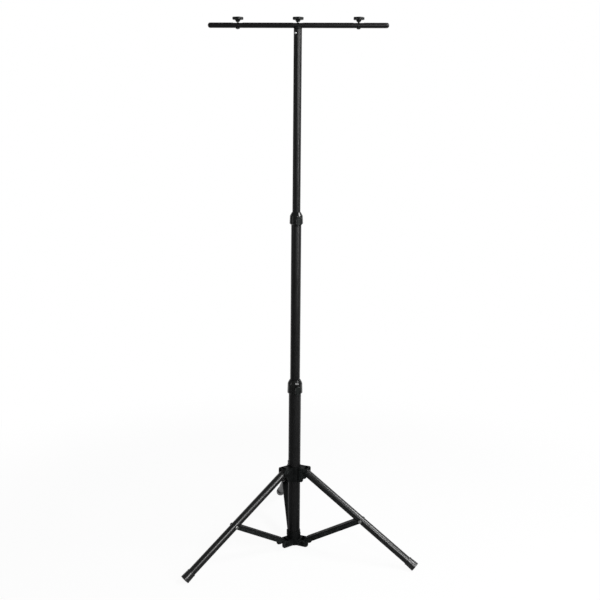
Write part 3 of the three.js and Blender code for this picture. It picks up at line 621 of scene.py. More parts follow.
def plated_steel(name, base, roughness):
    """Zinc plate: a slight yellow cloud, turning marks and small dull specks."""
    shading = Shading(name)
    clouds = shading.noise(scale=150.0, detail=3.0)
    marks = shading.noise(scale=1.0, vector=shading.stretched("Object", TURNING_MARKS))
    dents = shading.noise(scale=900.0)
    specks = shading.ramp(shading.noise(scale=1900.0, detail=3.0), low=0.62, high=0.72)
    warm = (base[0] * 1.06, base[1] * 1.02, base[2] * 0.93)
    tone = shading.mixed(shading.ramp(clouds, low=0.35, high=0.65), base, warm)
    tone = shading.mixed(shading.times(specks, clouds), tone, lighter(base, 0.55))
    rough = shading.ramp(
        shading.times(clouds, marks), low=0.1, high=0.45,
        bottom=roughness * 0.75, top=roughness * 1.3)
    shading.bumps((marks, 0.12, STEEL_MARK_DEPTH), (dents, 0.08, STEEL_DENT_DEPTH))
    return shading.finish(tone, rough, Metallic=1.0)


def make_finishes(settings):
    """Every finish by its slot's name."""

    def values(coat, gloss_of=None):
        """A coat's colour, with its roughness and gloss or those of another coat."""
        sheen = gloss_of or coat
        return (
            tuple(getattr(settings, f"{coat}_colour")),
            getattr(settings, f"{sheen}_roughness"),
            getattr(settings, f"{sheen}_gloss"),
        )

    return {
        "mast_powder_coat": coated_tube("mast_powder_coat", *values("mast"), MAST_PEEL),
        "leg_powder_coat": coated_tube("leg_powder_coat", *values("leg"), LEG_PEEL),
        "black_bracket": coated_bracket("black_bracket", *values("bracket")),
        "collar_plastic": moulded_plastic("collar_plastic", *values("collar")),
        "knob_plastic": moulded_plastic("knob_plastic", *values("knob")),
        "cap_plastic": moulded_plastic("cap_plastic", *values("cap")),
        "guide_plastic": moulded_plastic("guide_plastic", *values("guide", "cap")),
        "boot_rubber": boot_rubber("boot_rubber", *values("rubber")),
        "bright_steel": plated_steel(
            "bright_steel", tuple(settings.steel_colour), settings.steel_roughness),
    }


# Stage

def camera_matrix(settings):
    """The camera's place, panned, tilted down from level and rolled."""
    upright = math.pi / 2
    return (
        Matrix.Translation(settings.camera_place)
        @ Matrix.Rotation(settings.camera_pan, 4, "Z")
        @ Matrix.Rotation(upright - settings.camera_tilt, 4, "X")
        @ Matrix.Rotation(settings.camera_roll, 4, "Z")
    )


def add_softbox(name, place, aim, width, height, power):
    """An oblong lamp that faces a point."""
    data = bpy.data.lights.new(name, "AREA")
    data.shape = "RECTANGLE"
    data.size = width
    data.size_y = height
    data.energy = power
    lamp = bpy.data.objects.new(name, data)
    lamp.location = place
    lamp.rotation_euler = (Vector(aim) - Vector(place)).to_track_quat("-Z", "Y").to_euler()
    bpy.context.scene.collection.objects.link(lamp)


class Room:
    """How white the floor or the world looks to each kind of ray.

    The camera sees it white. So do gloss and glass behind the object, but towards the room's
    front, where a studio has no white wall, it dims to the front light.
    """

    def __init__(self, tree, coordinates, fade, front_light):
        self.tree = tree
        path = tree.nodes.new("ShaderNodeLightPath")
        place = tree.nodes.new("ShaderNodeSeparateXYZ")
        source = tree.nodes.new("ShaderNodeTexCoord").outputs[coordinates]
        tree.links.new(source, place.inputs["Vector"])
        self.place = place.outputs
        camera_ray, glossy_ray, clear_ray = (
            path.outputs[f"Is {kind} Ray"] for kind in ("Camera", "Glossy", "Transmission"))
        brightness = self.ramp(place.outputs["Y"], *fade, front_light, 1.0)
        reflected = self.math("MAXIMUM", glossy_ray, clear_ray)
        self.seen = self.math("MAXIMUM", camera_ray, reflected)
        self.white = self.math(
            "MAXIMUM", camera_ray, self.math("MULTIPLY", reflected, brightness))

    def math(self, operation, *values):
        """A calculation on sockets and numbers, by the node's name for it."""
        made = self.tree.nodes.new("ShaderNodeMath")
        made.operation = operation
        for value, socket in zip(values, made.inputs):
            if isinstance(value, bpy.types.NodeSocket):
                self.tree.links.new(value, socket)
            else:
                socket.default_value = value
        return made.outputs["Value"]

    def ramp(self, value, low, high, bottom, top):
        """A value between two limits, eased from the bottom to the top."""
        made = self.tree.nodes.new("ShaderNodeMapRange")
        made.interpolation_type = "SMOOTHSTEP"
        limits = {"From Min": low, "From Max": high, "To Min": bottom, "To Max": top}
        for name, number in limits.items():
            made.inputs[name].default_value = number
        self.tree.links.new(value, made.inputs["Value"])
        return made.outputs["Result"]


def floor_material(settings):
    """White where it is seen, but with a share of paint near the object, which keeps its shadow."""
    material = bpy.data.materials.new("studio_floor")
    material.use_nodes = True
    tree = material.node_tree
    tree.nodes.clear()
    room = Room(tree, "Object", FLOOR_FADE, settings.front_light)
    paint = tree.nodes.new("ShaderNodeBsdfDiffuse")
    paint.inputs["Color"].default_value = (*settings.floor_colour, 1.0)
    white = tree.nodes.new("ShaderNodeEmission")
    white.inputs["Color"].default_value = WHITE
    tree.links.new(room.white, white.inputs["Strength"])
    squares = [room.math("MULTIPLY", room.place[axis], room.place[axis]) for axis in ("X", "Y")]
    distance = room.math("SQRT", room.math("ADD", *squares))
    reach = settings.shadow_reach
    plain = room.ramp(distance, reach / 2, reach, 1.0 - settings.floor_shadow, 1.0)
    mix = tree.nodes.new("ShaderNodeMixShader")
    tree.links.new(room.math("MULTIPLY", room.seen, plain), mix.inputs["Fac"])
    tree.links.new(paint.outputs["BSDF"], mix.inputs[1])
    tree.links.new(white.outputs["Emission"], mix.inputs[2])
    output = tree.nodes.new("ShaderNodeOutputMaterial")
    tree.links.new(mix.outputs["Shader"], output.inputs["Surface"])
    return material


def make_world(settings):
    """A room that looks white and lights the object softly."""
    world = bpy.data.worlds.new("studio_room")
    bpy.context.scene.world = world
    world.use_nodes = True
    tree = world.node_tree
    tree.nodes.clear()
    room = Room(tree, "Generated", WORLD_FADE, settings.front_light)
    background = tree.nodes.new("ShaderNodeBackground")
    background.inputs["Color"].default_value = WHITE
    strength = room.math("MAXIMUM", room.white, settings.room_light)
    tree.links.new(strength, background.inputs["Strength"])
    output = tree.nodes.new("ShaderNodeOutputWorld")
    tree.links.new(background.outputs["Background"], output.inputs["Surface"])


class STAND_OT_stage(bpy.types.Operator):
    """Make the camera, the lamps, the white room and the floor"""

    bl_idname = "lighting_stand.stage"
    bl_label = "Stage"

    def execute(self, context):
        settings = context.scene.stand_stage
        camera_data = bpy.data.cameras.new("photo_camera")
        camera_data.lens = settings.lens
        camera_data.sensor_width = SENSOR_WIDTH
        camera = bpy.data.objects.new("photo_camera", camera_data)
        camera.matrix_world = camera_matrix(settings)
        context.scene.collection.objects.link(camera)
        context.scene.camera = camera

        for name, (place, aim, width, height) in SOFTBOXES.items():
            power = getattr(settings, f"{name}_power")
            add_softbox(f"{name}_softbox", place, aim, width, height, power)

        make_world(settings)
        lowest = cad_box[0].z
        half = settings.floor_size / 2
        mesh = bpy.data.meshes.new("floor")
        corners = [(-half, -half), (half, -half), (half, half), (-half, half)]
        mesh.from_pydata([(x, y, lowest) for x, y in corners], [], [(0, 1, 2, 3)])
        mesh.materials.append(floor_material(settings))
        floor = bpy.data.objects.new("floor", mesh)
        context.scene.collection.objects.link(floor)
        context.scene.view_settings.view_transform = "Standard"
        return {"FINISHED"}


# Finishes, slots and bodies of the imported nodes

finishes = {}
node_slots = {part["node"]: part["material_slot"] for part in frame["record"]["subparts"]}
node_bodies = {
    node: body for body, nodes in frame["record"]["behaviour"]["bodies"].items() for node in nodes
}


class STAND_OT_dress_nodes(bpy.types.Operator):
    """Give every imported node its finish, which shows where no finer piece takes its place"""

    bl_idname = "lighting_stand.dress_nodes"
    bl_label = "Dress the packed nodes"

    def execute(self, context):
        for name, node in frame["nodes"].items():
            node.data.materials.clear()
            node.data.materials.append(finishes[node_slots[name]])
        return {"FINISHED"}


# Outlines and solids

def rounded(points, fillet, closed=False, steps=CORNER_STEPS):
    """An outline with its corners turned into arcs.

    A point is (x, y), or (x, y, fillet) where it has a fillet of its own.
    """
    outline = []
    for index, point in enumerate(points):
        corner = Vector(point[:2])
        radius = point[2] if len(point) > 2 else fillet
        before = Vector(points[index - 1][:2]) - corner
        after = Vector(points[(index + 1) % len(points)][:2]) - corner
        is_end = not closed and index in (0, len(points) - 1)
        if is_end or radius == 0 or before.angle(after) > NEARLY_STRAIGHT:
            outline.append(corner)
            continue
        reach = radius / math.tan(before.angle(after) / 2)
        reach = min(reach, before.length * SIDE_SHARE, after.length * SIDE_SHARE)
        start = corner + before.normalized() * reach
        end = corner + after.normalized() * reach
        for step in range(steps + 1):
            share_done = step / steps
            first = start.lerp(corner, share_done)
            second = corner.lerp(end, share_done)
            outline.append(first.lerp(second, share_done))
    return outline


def curve_points(start, control, end):
    """Points on a curve that leaves the start towards the control point and ends at the end."""
    start, control, end = Vector(start), Vector(control), Vector(end)
    points = []
    for step in range(CURVE_STEPS + 1):
        share_done = step / CURVE_STEPS
        first = start.lerp(control, share_done)
        points.append(first.lerp(control.lerp(end, share_done), share_done))
    return points


def ring_points(radius, height, sides):
    """A ring about Z, or one pole where the radius is nought."""
    if radius < MERGE_DISTANCE:
        return [Vector((0.0, 0.0, height))]
    turn = 2 * math.pi / sides
    return [
        Vector((radius * math.cos(turn * side), radius * math.sin(turn * side), height))
        for side in range(sides)
    ]


def skinned(rings, sides, closed=False, lengths=None, girth=1.0):
    """A closed mesh through rings of points, where a ring of one point is a pole.

    Its UV map runs round the rings to the girth, and along them by the lengths.
    """
    mesh = bmesh.new()
    uv_layer = mesh.loops.layers.uv.new("UVMap")
    lengths = lengths or [float(index) for index in range(len(rings))]
    made = []
    for ring in rings:
        verts = [mesh.verts.new(point) for point in ring]
        made.append(verts * sides if len(verts) == 1 else verts)
    spans = [(index, index + 1) for index in range(len(rings) - 1)]
    if closed:
        spans.append((len(rings) - 1, 0))
    for low, high in spans:
        for side in range(sides):
            following = (side + 1) % sides
            corners = {
                made[low][side]: (side, lengths[low]),
                made[low][following]: (side + 1, lengths[low]),
                made[high][following]: (side + 1, lengths[high]),
                made[high][side]: (side, lengths[high]),
            }
            face = mesh.faces.new(list(corners))
            for loop in face.loops:
                sides_round, distance = corners[loop.vert]
                loop[uv_layer].uv = (girth * sides_round / sides, distance)
    bmesh.ops.recalc_face_normals(mesh, faces=mesh.faces)
    return mesh


def turned(profile, sides=PLAIN_SIDES, closed=False):
    """A solid of revolution about Z, with its UV map in metres."""
    points = [Vector(point[:2]) for point in profile]
    lengths = [0.0]
    for first, second in zip(points, points[1:]):
        lengths.append(lengths[-1] + (second - first).length)
    rings = [ring_points(point.x, point.y, sides) for point in points]
    girth = 2 * math.pi * max(point.x for point in points)
    return skinned(rings, sides, closed, lengths, girth)


def sleeve(inner, outer, bottom, top, fillet, sides=PLAIN_SIDES):
    """A ring about Z with rounded rims."""
    corners = [(inner, bottom), (outer, bottom), (outer, top), (inner, top)]
    return turned(rounded(corners, fillet, closed=True), sides, closed=True)


def rod(radius, bottom, top, sides=ROD_SIDES):
    """A plain round bar about Z, for joins and cuts."""
    return turned([(0.0, bottom), (radius, bottom), (radius, top), (0.0, top)], sides)


def round_edges(mesh, edges, width):
    bmesh.ops.bevel(
        mesh, geom=edges, offset=width, segments=EDGE_SEGMENTS, profile=ROUND_PROFILE,
        affect="EDGES")


def plate(outline, from_y, to_y, edge=0.0):
    """A plate in the XZ plane, with both rims rounded by the edge."""
    mesh = bmesh.new()
    near = [mesh.verts.new((x, from_y, z)) for x, z in outline]
    far = [mesh.verts.new((x, to_y, z)) for x, z in outline]
    mesh.faces.new(near)
    mesh.faces.new(far)
    for index, vert in enumerate(near):
        following = (index + 1) % len(near)
        mesh.faces.new((vert, near[following], far[following], far[index]))
    if edge > 0:
        depths = {line: [vert.co.y for vert in line.verts] for line in mesh.edges}
        rims = [line for line in depths if abs(depths[line][0] - depths[line][1]) < MERGE_DISTANCE]
        round_edges(mesh, rims, edge)
    bmesh.ops.recalc_face_normals(mesh, faces=mesh.faces)
    return mesh


def block(low, high):
    """A box between two corners."""
    mesh = bmesh.new()
    size = Vector(high) - Vector(low)
    middle = (Vector(high) + Vector(low)) / 2
    matrix = Matrix.Translation(middle) @ Matrix.Diagonal((*size, 1.0))
    bmesh.ops.create_cube(mesh, size=1.0, matrix=matrix)
    return mesh


def placed(mesh, matrix):
    """The mesh itself, after a matrix has moved it."""
    mesh.transform(matrix)
    return mesh


def duplicate(mesh, matrix):
    """A copy of a mesh, moved by a matrix."""
    return placed(mesh.copy(), matrix)


def mesh_object(name, mesh):
    """An object in the scene that holds a mesh."""
    data = bpy.data.meshes.new(name)
    mesh.to_mesh(data)
    mesh.free()
    made = bpy.data.objects.new(name, data)
    bpy.context.scene.collection.objects.link(made)
    return made


def discard(helper):
    """Remove a working object and its mesh."""
    data = helper.data
    bpy.data.objects.remove(helper)
    bpy.data.meshes.remove(data)


def evaluated_mesh(holder):
    """The plain mesh that an object's modifiers give, after which the object goes."""
    depsgraph = bpy.context.evaluated_depsgraph_get()
    data = bpy.data.meshes.new_from_object(holder.evaluated_get(depsgraph))
    discard(holder)
    mesh = bmesh.new()
    mesh.from_mesh(data)
    bpy.data.meshes.remove(data)
    return mesh


def combined(base, *steps):
    """A mesh after a row of (operation, other mesh) joins and cuts."""
    holder = mesh_object("work", base)
    tools = []
    for operation, other in steps:
        tool = mesh_object("tool", other)
        tools.append(tool)
        modifier = holder.modifiers.new("step", "BOOLEAN")
        modifier.operation = operation
        modifier.solver = "MANIFOLD"
        modifier.object = tool
    mesh = evaluated_mesh(holder)
    for tool in tools:
        discard(tool)
    return mesh


# Places in the frame

def along(direction, place=(0.0, 0.0, 0.0)):
    """A matrix that turns Z to a direction and moves the origin to a place."""
    turn = Vector(direction).to_track_quat("Z", "Y").to_matrix()
    return Matrix.Translation(place) @ turn.to_4x4()


def axes(x_axis, y_axis, z_axis, place):
    """A matrix from three axes and a place."""
    turn = Matrix((x_axis, y_axis, z_axis)).transposed()
    return Matrix.Translation(place) @ turn.to_4x4()


def radial(azimuth):
    """The level direction at an azimuth."""
    return Vector((math.cos(azimuth), math.sin(azimuth), 0.0))


def arm_matrix(azimuth):
    """A turn about the mast."""
    return Matrix.Rotation(azimuth, 4, "Z")


def shift(x, z):
    """A move along the bar and upwards."""
    return Matrix.Translation((x, 0.0, z))


def joint(name):
    """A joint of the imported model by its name."""
    return next(entry for entry in frame["joints"] if entry["name"] == name)


def joint_place(name):
    return Vector(joint(name)["pos_m"])


def middle_of(*nodes):
    """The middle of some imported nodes' boxes."""
    corners = [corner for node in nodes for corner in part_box(node)]
    return sum((Vector(corner) for corner in corners), Vector()) / len(corners)


def radius_of(node):
    """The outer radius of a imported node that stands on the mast's axis."""
    low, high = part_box(node)
    return (high[0] - low[0]) / 2


def plain_side(node):
    """How far a packed collar reaches on the side away from its knob."""
    low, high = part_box(node)
    return -low[0]


def heights_of(node):
    """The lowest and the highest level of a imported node."""
    low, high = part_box(node)
    return low[2], high[2]


def bar_level():
    """The height of the T-bar's axis."""
    return middle_of("t_bar_cap_left").z


def fixture_x(name):
    """The place of a fixture's knob along the T-bar."""
    return joint_place(f"fixture_knob_{name}_turn").x


def leg_azimuth(name):
    """The way that a leg spreads, as an angle about the mast."""
    place = joint_place(f"leg_{name}_fold")
    return math.atan2(place.y, place.x)


def across_leg(name):
    """The level direction of a leg's pivot."""
    return UP.cross(radial(leg_azimuth(name)))


def leg_matrix(name):
    """The frame of a leg: its origin at the pivot, Z up the leg and Y along the pivot."""
    pivot = joint_place(f"leg_{name}_fold")
    up_leg = (pivot - middle_of(f"leg_tube_{name}")).normalized()
    across = across_leg(name)
    return axes(across.cross(up_leg), across, up_leg, pivot)


def strut_span(name):
    """A strut's inner pivot, and the way from there to its outer rivets."""
    pivot = joint_place(f"strut_{name}_fold")
    return pivot, middle_of(f"strut_rivet_{name}_a", f"strut_rivet_{name}_b") - pivot


def strut_matrix(name):
    """The frame of a strut: its origin at the inner pivot, X up the strut and Z out of its web."""
    pivot, way = strut_span(name)
    across = across_leg(name)
    up_strut = way.normalized()
    return axes(up_strut, across, up_strut.cross(across), pivot)


# Pieces

def slot_of(node):
    """The finish of a node's piece: the record's, save for steel that the photo shows black."""
    is_black = node.startswith(BLACK_STEEL)
    return "black_bracket" if is_black else node_slots[node]


def add_piece(name, mesh, *nodes):
    """Keep a mesh as a piece that takes the place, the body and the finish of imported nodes."""
    piece = mesh_object(name, mesh)
    slot = slot_of(nodes[0])
    piece.data.materials.clear()
    piece.data.materials.append(finishes[slot])
    piece.data.shade_smooth()
    piece.data.set_sharp_from_angle(angle=SMOOTH_LIMIT)
    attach(piece, node_bodies[nodes[0]])
    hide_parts(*nodes)
    return piece


class NodeForm:
    """A Geometry Nodes tree under construction, with named inputs for its sizes."""

    def __init__(self, name):
        self.tree = bpy.data.node_groups.new(name, "GeometryNodeTree")
        self.tree.is_modifier = True
        for way in ("INPUT", "OUTPUT"):
            self.tree.interface.new_socket("Geometry", in_out=way, socket_type="NodeSocketGeometry")
        self.entry = self.tree.nodes.new("NodeGroupInput")
        self.exit = self.tree.nodes.new("NodeGroupOutput")

    def setting(self, name, default=None, kind="NodeSocketFloat"):
        """A named input of the tree."""
        made = self.tree.interface.new_socket(name, in_out="INPUT", socket_type=kind)
        if default is not None:
            made.default_value = default
        return self.entry.outputs[name]

    def put(self, value, socket):
        """Link a socket or write a value into an input."""
        if isinstance(value, bpy.types.NodeSocket):
            self.tree.links.new(value, socket)
        else:
            socket.default_value = value

    def node(self, kind, values=None, **attributes):
        """A new node, with its attributes and its inputs set by name."""
        made = self.tree.nodes.new(kind)
        for name, value in attributes.items():
            setattr(made, name, value)
        for name, value in (values or {}).items():
            self.put(value, made.inputs[name])
        return made

    def math(self, operation, *values):
        made = self.node("ShaderNodeMath", operation=operation)
        for value, socket in zip(values, made.inputs):
            self.put(value, socket)
        return made.outputs[0]

    def vector(self, x, y, z):
        return self.node("ShaderNodeCombineXYZ", {"X": x, "Y": y, "Z": z}).outputs[0]

    def position(self):
        """The three coordinates of each point."""
        position = self.node("GeometryNodeInputPosition")
        return self.node("ShaderNodeSeparateXYZ", {"Vector": position.outputs[0]}).outputs

    def finish(self, geometry, finish):
        """End the tree: merge what meets, realize the instances and give them their finish."""
        real = self.node("GeometryNodeRealizeInstances", {"Geometry": geometry})
        merged = self.node("GeometryNodeMergeByDistance", {
            "Geometry": real.outputs[0], "Distance": MERGE_DISTANCE,
        })
        coated = self.node("GeometryNodeSetMaterial", {
            "Geometry": merged.outputs[0], "Material": finish,
        })
        self.put(coated.outputs[0], self.exit.inputs["Geometry"])
        return self.tree


def rivet_tree():
    """Domed heads on round shanks, one on each point, its head turned to the point's axis."""
    form = NodeForm("domed_rivets")
    head_diameter = form.setting("Head diameter", 0.010)
    head_height = form.setting("Head height", 0.0022)
    rim = form.setting("Rim height", 0.0006)
    shank_diameter = form.setting("Shank diameter", 0.005)
    shank_length = form.setting("Shank length", 0.004)
    finish = form.setting("Finish", None, "NodeSocketMaterial")

    line = form.node("GeometryNodeCurvePrimitiveLine")
    fine = form.node("GeometryNodeResampleCurve", {
        "Curve": line.outputs[0], "Count": RIVET_DOME_POINTS,
    })
    passed = form.node("GeometryNodeSplineParameter").outputs["Factor"]
    angle = form.math("MULTIPLY", passed, math.pi / 2)
    dome = form.math("SUBTRACT", head_height, rim)
    rise = form.math("MULTIPLY_ADD", form.math("SINE", angle), dome, rim)
    bent = form.node("GeometryNodeSetPosition", {
        "Geometry": fine.outputs[0], "Position": form.vector(0.0, 0.0, rise),
    })
    circle = form.node("GeometryNodeCurvePrimitiveCircle", {
        "Resolution": RIVET_SIDES, "Radius": form.math("MULTIPLY", head_diameter, 0.5),
    })
    head = form.node("GeometryNodeCurveToMesh", {
        "Curve": bent.outputs[0], "Profile Curve": circle.outputs[0],
        "Scale": form.math("COSINE", angle), "Fill Caps": True,
    })

    def barrel(diameter, depth, middle):
        radius = form.math("MULTIPLY", diameter, 0.5)
        made = form.node("GeometryNodeMeshCylinder", {
            "Vertices": RIVET_SIDES, "Radius": radius, "Depth": depth,
        })
        return form.node("GeometryNodeTransform", {
            "Geometry": made.outputs["Mesh"], "Translation": form.vector(0.0, 0.0, middle),
        }).outputs[0]

    band = barrel(head_diameter, rim, form.math("MULTIPLY", rim, 0.5))
    shank = barrel(shank_diameter, shank_length, form.math("MULTIPLY", shank_length, -0.5))
    rivet = form.node("GeometryNodeJoinGeometry")
    for part in (head.outputs[0], band, shank):
        form.put(part, rivet.inputs[0])
    axis = form.node(
        "GeometryNodeInputNamedAttribute", {"Name": "axis"}, data_type="FLOAT_VECTOR")
    facing = form.node(
        "FunctionNodeAlignRotationToVector", {"Vector": axis.outputs["Attribute"]}, axis="Z")
    rivets = form.node("GeometryNodeInstanceOnPoints", {
        "Points": form.entry.outputs["Geometry"], "Instance": rivet.outputs[0],
        "Rotation": facing.outputs[0],
    })
    return form.finish(rivets.outputs[0], finish)


def stud_tree():
    """A threaded stud on each point, upright, with the point at its middle."""
    form = NodeForm("threaded_stud")
    diameter = form.setting("Diameter", 0.006)
    length_of_stud = form.setting("Length", 0.028)
    pitch = form.setting("Pitch", 0.001)
    depth = form.setting("Thread depth", 0.0005)
    rows = form.setting("Rows", 200, "NodeSocketInt")
    finish = form.setting("Finish", None, "NodeSocketMaterial")

    radius = form.math("MULTIPLY", diameter, 0.5)
    core = form.node("GeometryNodeMeshCylinder", {
        "Vertices": STUD_SIDES, "Side Segments": rows, "Radius": radius, "Depth": length_of_stud,
    })
    x, y, z = form.position()
    turns = form.math("DIVIDE", form.math("ARCTAN2", y, x), 2 * math.pi)
    phase = form.math("FRACT", form.math("ADD", form.math("DIVIDE", z, pitch), turns))
    ridge = form.math("ABSOLUTE", form.math("MULTIPLY_ADD", phase, 2.0, -1.0))
    cut = form.math("DIVIDE", form.math("MULTIPLY", ridge, depth), radius)
    kept = form.math("SUBTRACT", 1.0, cut)
    grooved = form.node("GeometryNodeSetPosition", {
        "Geometry": core.outputs["Mesh"],
        "Position": form.vector(form.math("MULTIPLY", x, kept), form.math("MULTIPLY", y, kept), z),
    })
    studs = form.node("GeometryNodeInstanceOnPoints", {
        "Points": form.entry.outputs["Geometry"], "Instance": grooved.outputs[0],
    })
    return form.finish(studs.outputs[0], finish)


def lobe_tree():
    """Draws a round knob in between its lobes, from the neck outwards."""
    form = NodeForm("lobed_grip")
    lobes = form.setting("Lobes", 5.0)
    depth = form.setting("Lobe depth", 0.0026)
    grip_radius = form.setting("Grip radius", 0.015)
    neck_radius = form.setting("Neck radius", 0.008)
    finish = form.setting("Finish", None, "NodeSocketMaterial")

    x, y, z = form.position()
    wave = form.math("COSINE", form.math("MULTIPLY", form.math("ARCTAN2", y, x), lobes))
    swing = form.math("SQRT", form.math("MULTIPLY_ADD", wave, 0.5, 0.5))
    hollow = form.math("MULTIPLY", form.math("SUBTRACT", 1.0, swing), depth)
    squares = [form.math("MULTIPLY", side, side) for side in (x, y)]
    reach = form.math("SQRT", form.math("ADD", *squares))
    fade = form.node("ShaderNodeMapRange", {
        "Value": reach, "From Min": neck_radius, "From Max": grip_radius,
        "To Min": 0.0, "To Max": 1.0,
    }, interpolation_type="SMOOTHSTEP")
    drawn = form.math("DIVIDE", form.math("MULTIPLY", hollow, fade.outputs[0]), grip_radius)
    kept = form.math("SUBTRACT", 1.0, drawn)
    bent = form.node("GeometryNodeSetPosition", {
        "Geometry": form.entry.outputs["Geometry"],
        "Position": form.vector(form.math("MULTIPLY", x, kept), form.math("MULTIPLY", y, kept), z),
    })
    return form.finish(bent.outputs[0], finish)


def grown(base, tree, values):
    """The plain mesh that a tree makes of a base mesh, with its inputs set by name."""
    holder = mesh_object("base", base)
    modifier = holder.modifiers.new(tree.name, "NODES")
    modifier.node_group = tree
    for item in tree.interface.items_tree:
        if item.name in values:
            modifier[item.identifier] = values[item.name]
    return evaluated_mesh(holder)


def points_mesh(places):
    """Loose points at (place, axis) pairs, with the axis as an attribute."""
    mesh = bmesh.new()
    axis_layer = mesh.verts.layers.float_vector.new("axis")
    for place, axis in places:
        vert = mesh.verts.new(place)
        vert[axis_layer] = axis
    return mesh


# Forms that several pieces share

def knob_boss(carrier, collars, foot, carrier_radius, edge):
    """The round boss that a clamp's knob bears on, from its foot in the wall outwards."""
    knob = joint(f"{carrier}_knob_turn")
    radius = collars.boss_radius
    top = carrier_radius + collars.boss_proud
    boss = turned(rounded([(0.0, foot), (radius, foot), (radius, top), (0.0, top)], edge))
    return placed(boss, along(knob["axis"], knob["pos_m"]))


def cheeks(sizes, outline):
    """The two cheeks of a hub's arm, from their side outline."""
    outside = sizes.arm_inside + sizes.arm_wall
    return [
        plate(outline, sizes.arm_inside, outside, sizes.edge),
        plate(outline, -outside, -sizes.arm_inside, sizes.edge),
    ]


def on_each_arm(*parts):
    """The joins that put a copy of each part on every arm of a hub."""
    steps = []
    for name in LEG_NAMES:
        turn = arm_matrix(leg_azimuth(name))
        steps += [("UNION", duplicate(part, turn)) for part in parts]
    for part in parts:
        part.free()
    return steps


# The stand's pieces

class STAND_OT_mast(bpy.types.Operator):
    """Make the three mast tubes, their guides and the cap in the mast's foot"""

    bl_idname = "lighting_stand.mast"
    bl_label = "Mast tubes"

    def execute(self, context):
        sizes = context.scene.stand_mast
        walls = {
            "base_tube": sizes.base_wall, "middle_tube": sizes.middle_wall,
            "top_tube": sizes.top_wall,
        }
        for node, wall in walls.items():
            outer = radius_of(node)
            tube = sleeve(outer - wall, outer, *heights_of(node), sizes.rim, FINE_SIDES)
            add_piece(f"{node}_coated", tube, node)
        for tube in ("middle_tube", "top_tube"):
            node = f"{tube}_glide"
            low, high = heights_of(node)
            outside = radius_of(node)
            tube_outer = radius_of(tube) + GAP
            bore = radius_of(tube) - walls[tube]
            seat = heights_of(tube)[0] - GAP
            profile = rounded([
                (bore, low), (outside, low), (outside, high), (tube_outer, high),
                (tube_outer, seat), (bore, seat),
            ], sizes.rim, closed=True)
            add_piece(f"{node}_bush", turned(profile, closed=True), node)
        outer = radius_of("mast_foot_cap")
        low, high = heights_of("mast_foot_cap")
        seat = heights_of("base_tube")[0] - GAP
        plug = outer - sizes.base_wall - GAP
        profile = rounded([
            (0.0, low), (outer, low, sizes.cap_edge), (outer, seat), (plug, seat), (plug, high),
            (plug - sizes.cap_wall, high), (plug - sizes.cap_wall, low + sizes.cap_wall),
            (0.0, low + sizes.cap_wall),
        ], sizes.rim)
        add_piece("mast_foot_cap_moulding", turned(profile), "mast_foot_cap")
        return {"FINISHED"}


class STAND_OT_collars(bpy.types.Operator):
    """Make the two clamp collars with their crowns, bosses and splits"""

    bl_idname = "lighting_stand.collars"
    bl_label = "Collars"

    def collar(self, sizes, side, carrier, wall, slider):
        """A collar on its carrier's end, with a crown that closes on the tube that slides in it."""
        skirt, chamfer, taper, mouth, shoulder = (
            getattr(sizes, f"{side}_{size}")
            for size in ("skirt", "chamfer", "taper", "mouth", "shoulder"))
        node = f"{side}_collar"
        tube_outer = radius_of(carrier) + GAP
        tube_inner = radius_of(carrier) - wall - GAP
        slide = radius_of(slider) + GAP
        tube_top = heights_of(carrier)[1]
        top = heights_of(node)[1]
        bottom = tube_top - skirt
        body = plain_side(node)
        seat = tube_top + GAP
        foot = tube_top - sizes.liner
        crown_foot = body - taper
        crown = curve_points((crown_foot, tube_top), (crown_foot, tube_top + shoulder), (mouth, top))
        profile = [
            (tube_outer, bottom), (body - chamfer, bottom), (body, bottom + chamfer),
            *[(point.x, point.y, 0.0) for point in crown[:-1]], (mouth, top), (slide, top),
            (slide, foot), (tube_inner, foot), (tube_inner, seat), (tube_outer, seat),
        ]
        shell = turned(rounded(profile, sizes.edge, closed=True), FINE_SIDES, closed=True)
        boss = knob_boss(node, sizes, tube_outer + sizes.edge, body, sizes.edge)
        slit_low = (body - sizes.slit_width, -sizes.slit_width / 2, bottom - sizes.edge)
        slit_high = (body * 2, sizes.slit_width / 2, top + sizes.edge)
        slit = placed(block(slit_low, slit_high), arm_matrix(sizes.slit_azimuth))
        whole = combined(shell, ("UNION", boss), ("DIFFERENCE", slit))
        add_piece(f"{node}_moulding", whole, node)

    def execute(self, context):
        sizes = context.scene.stand_collars
        mast = context.scene.stand_mast
        self.collar(sizes, "lower", "base_tube", mast.base_wall, "middle_tube")
        self.collar(sizes, "upper", "middle_tube", mast.middle_wall, "top_tube")
        return {"FINISHED"}


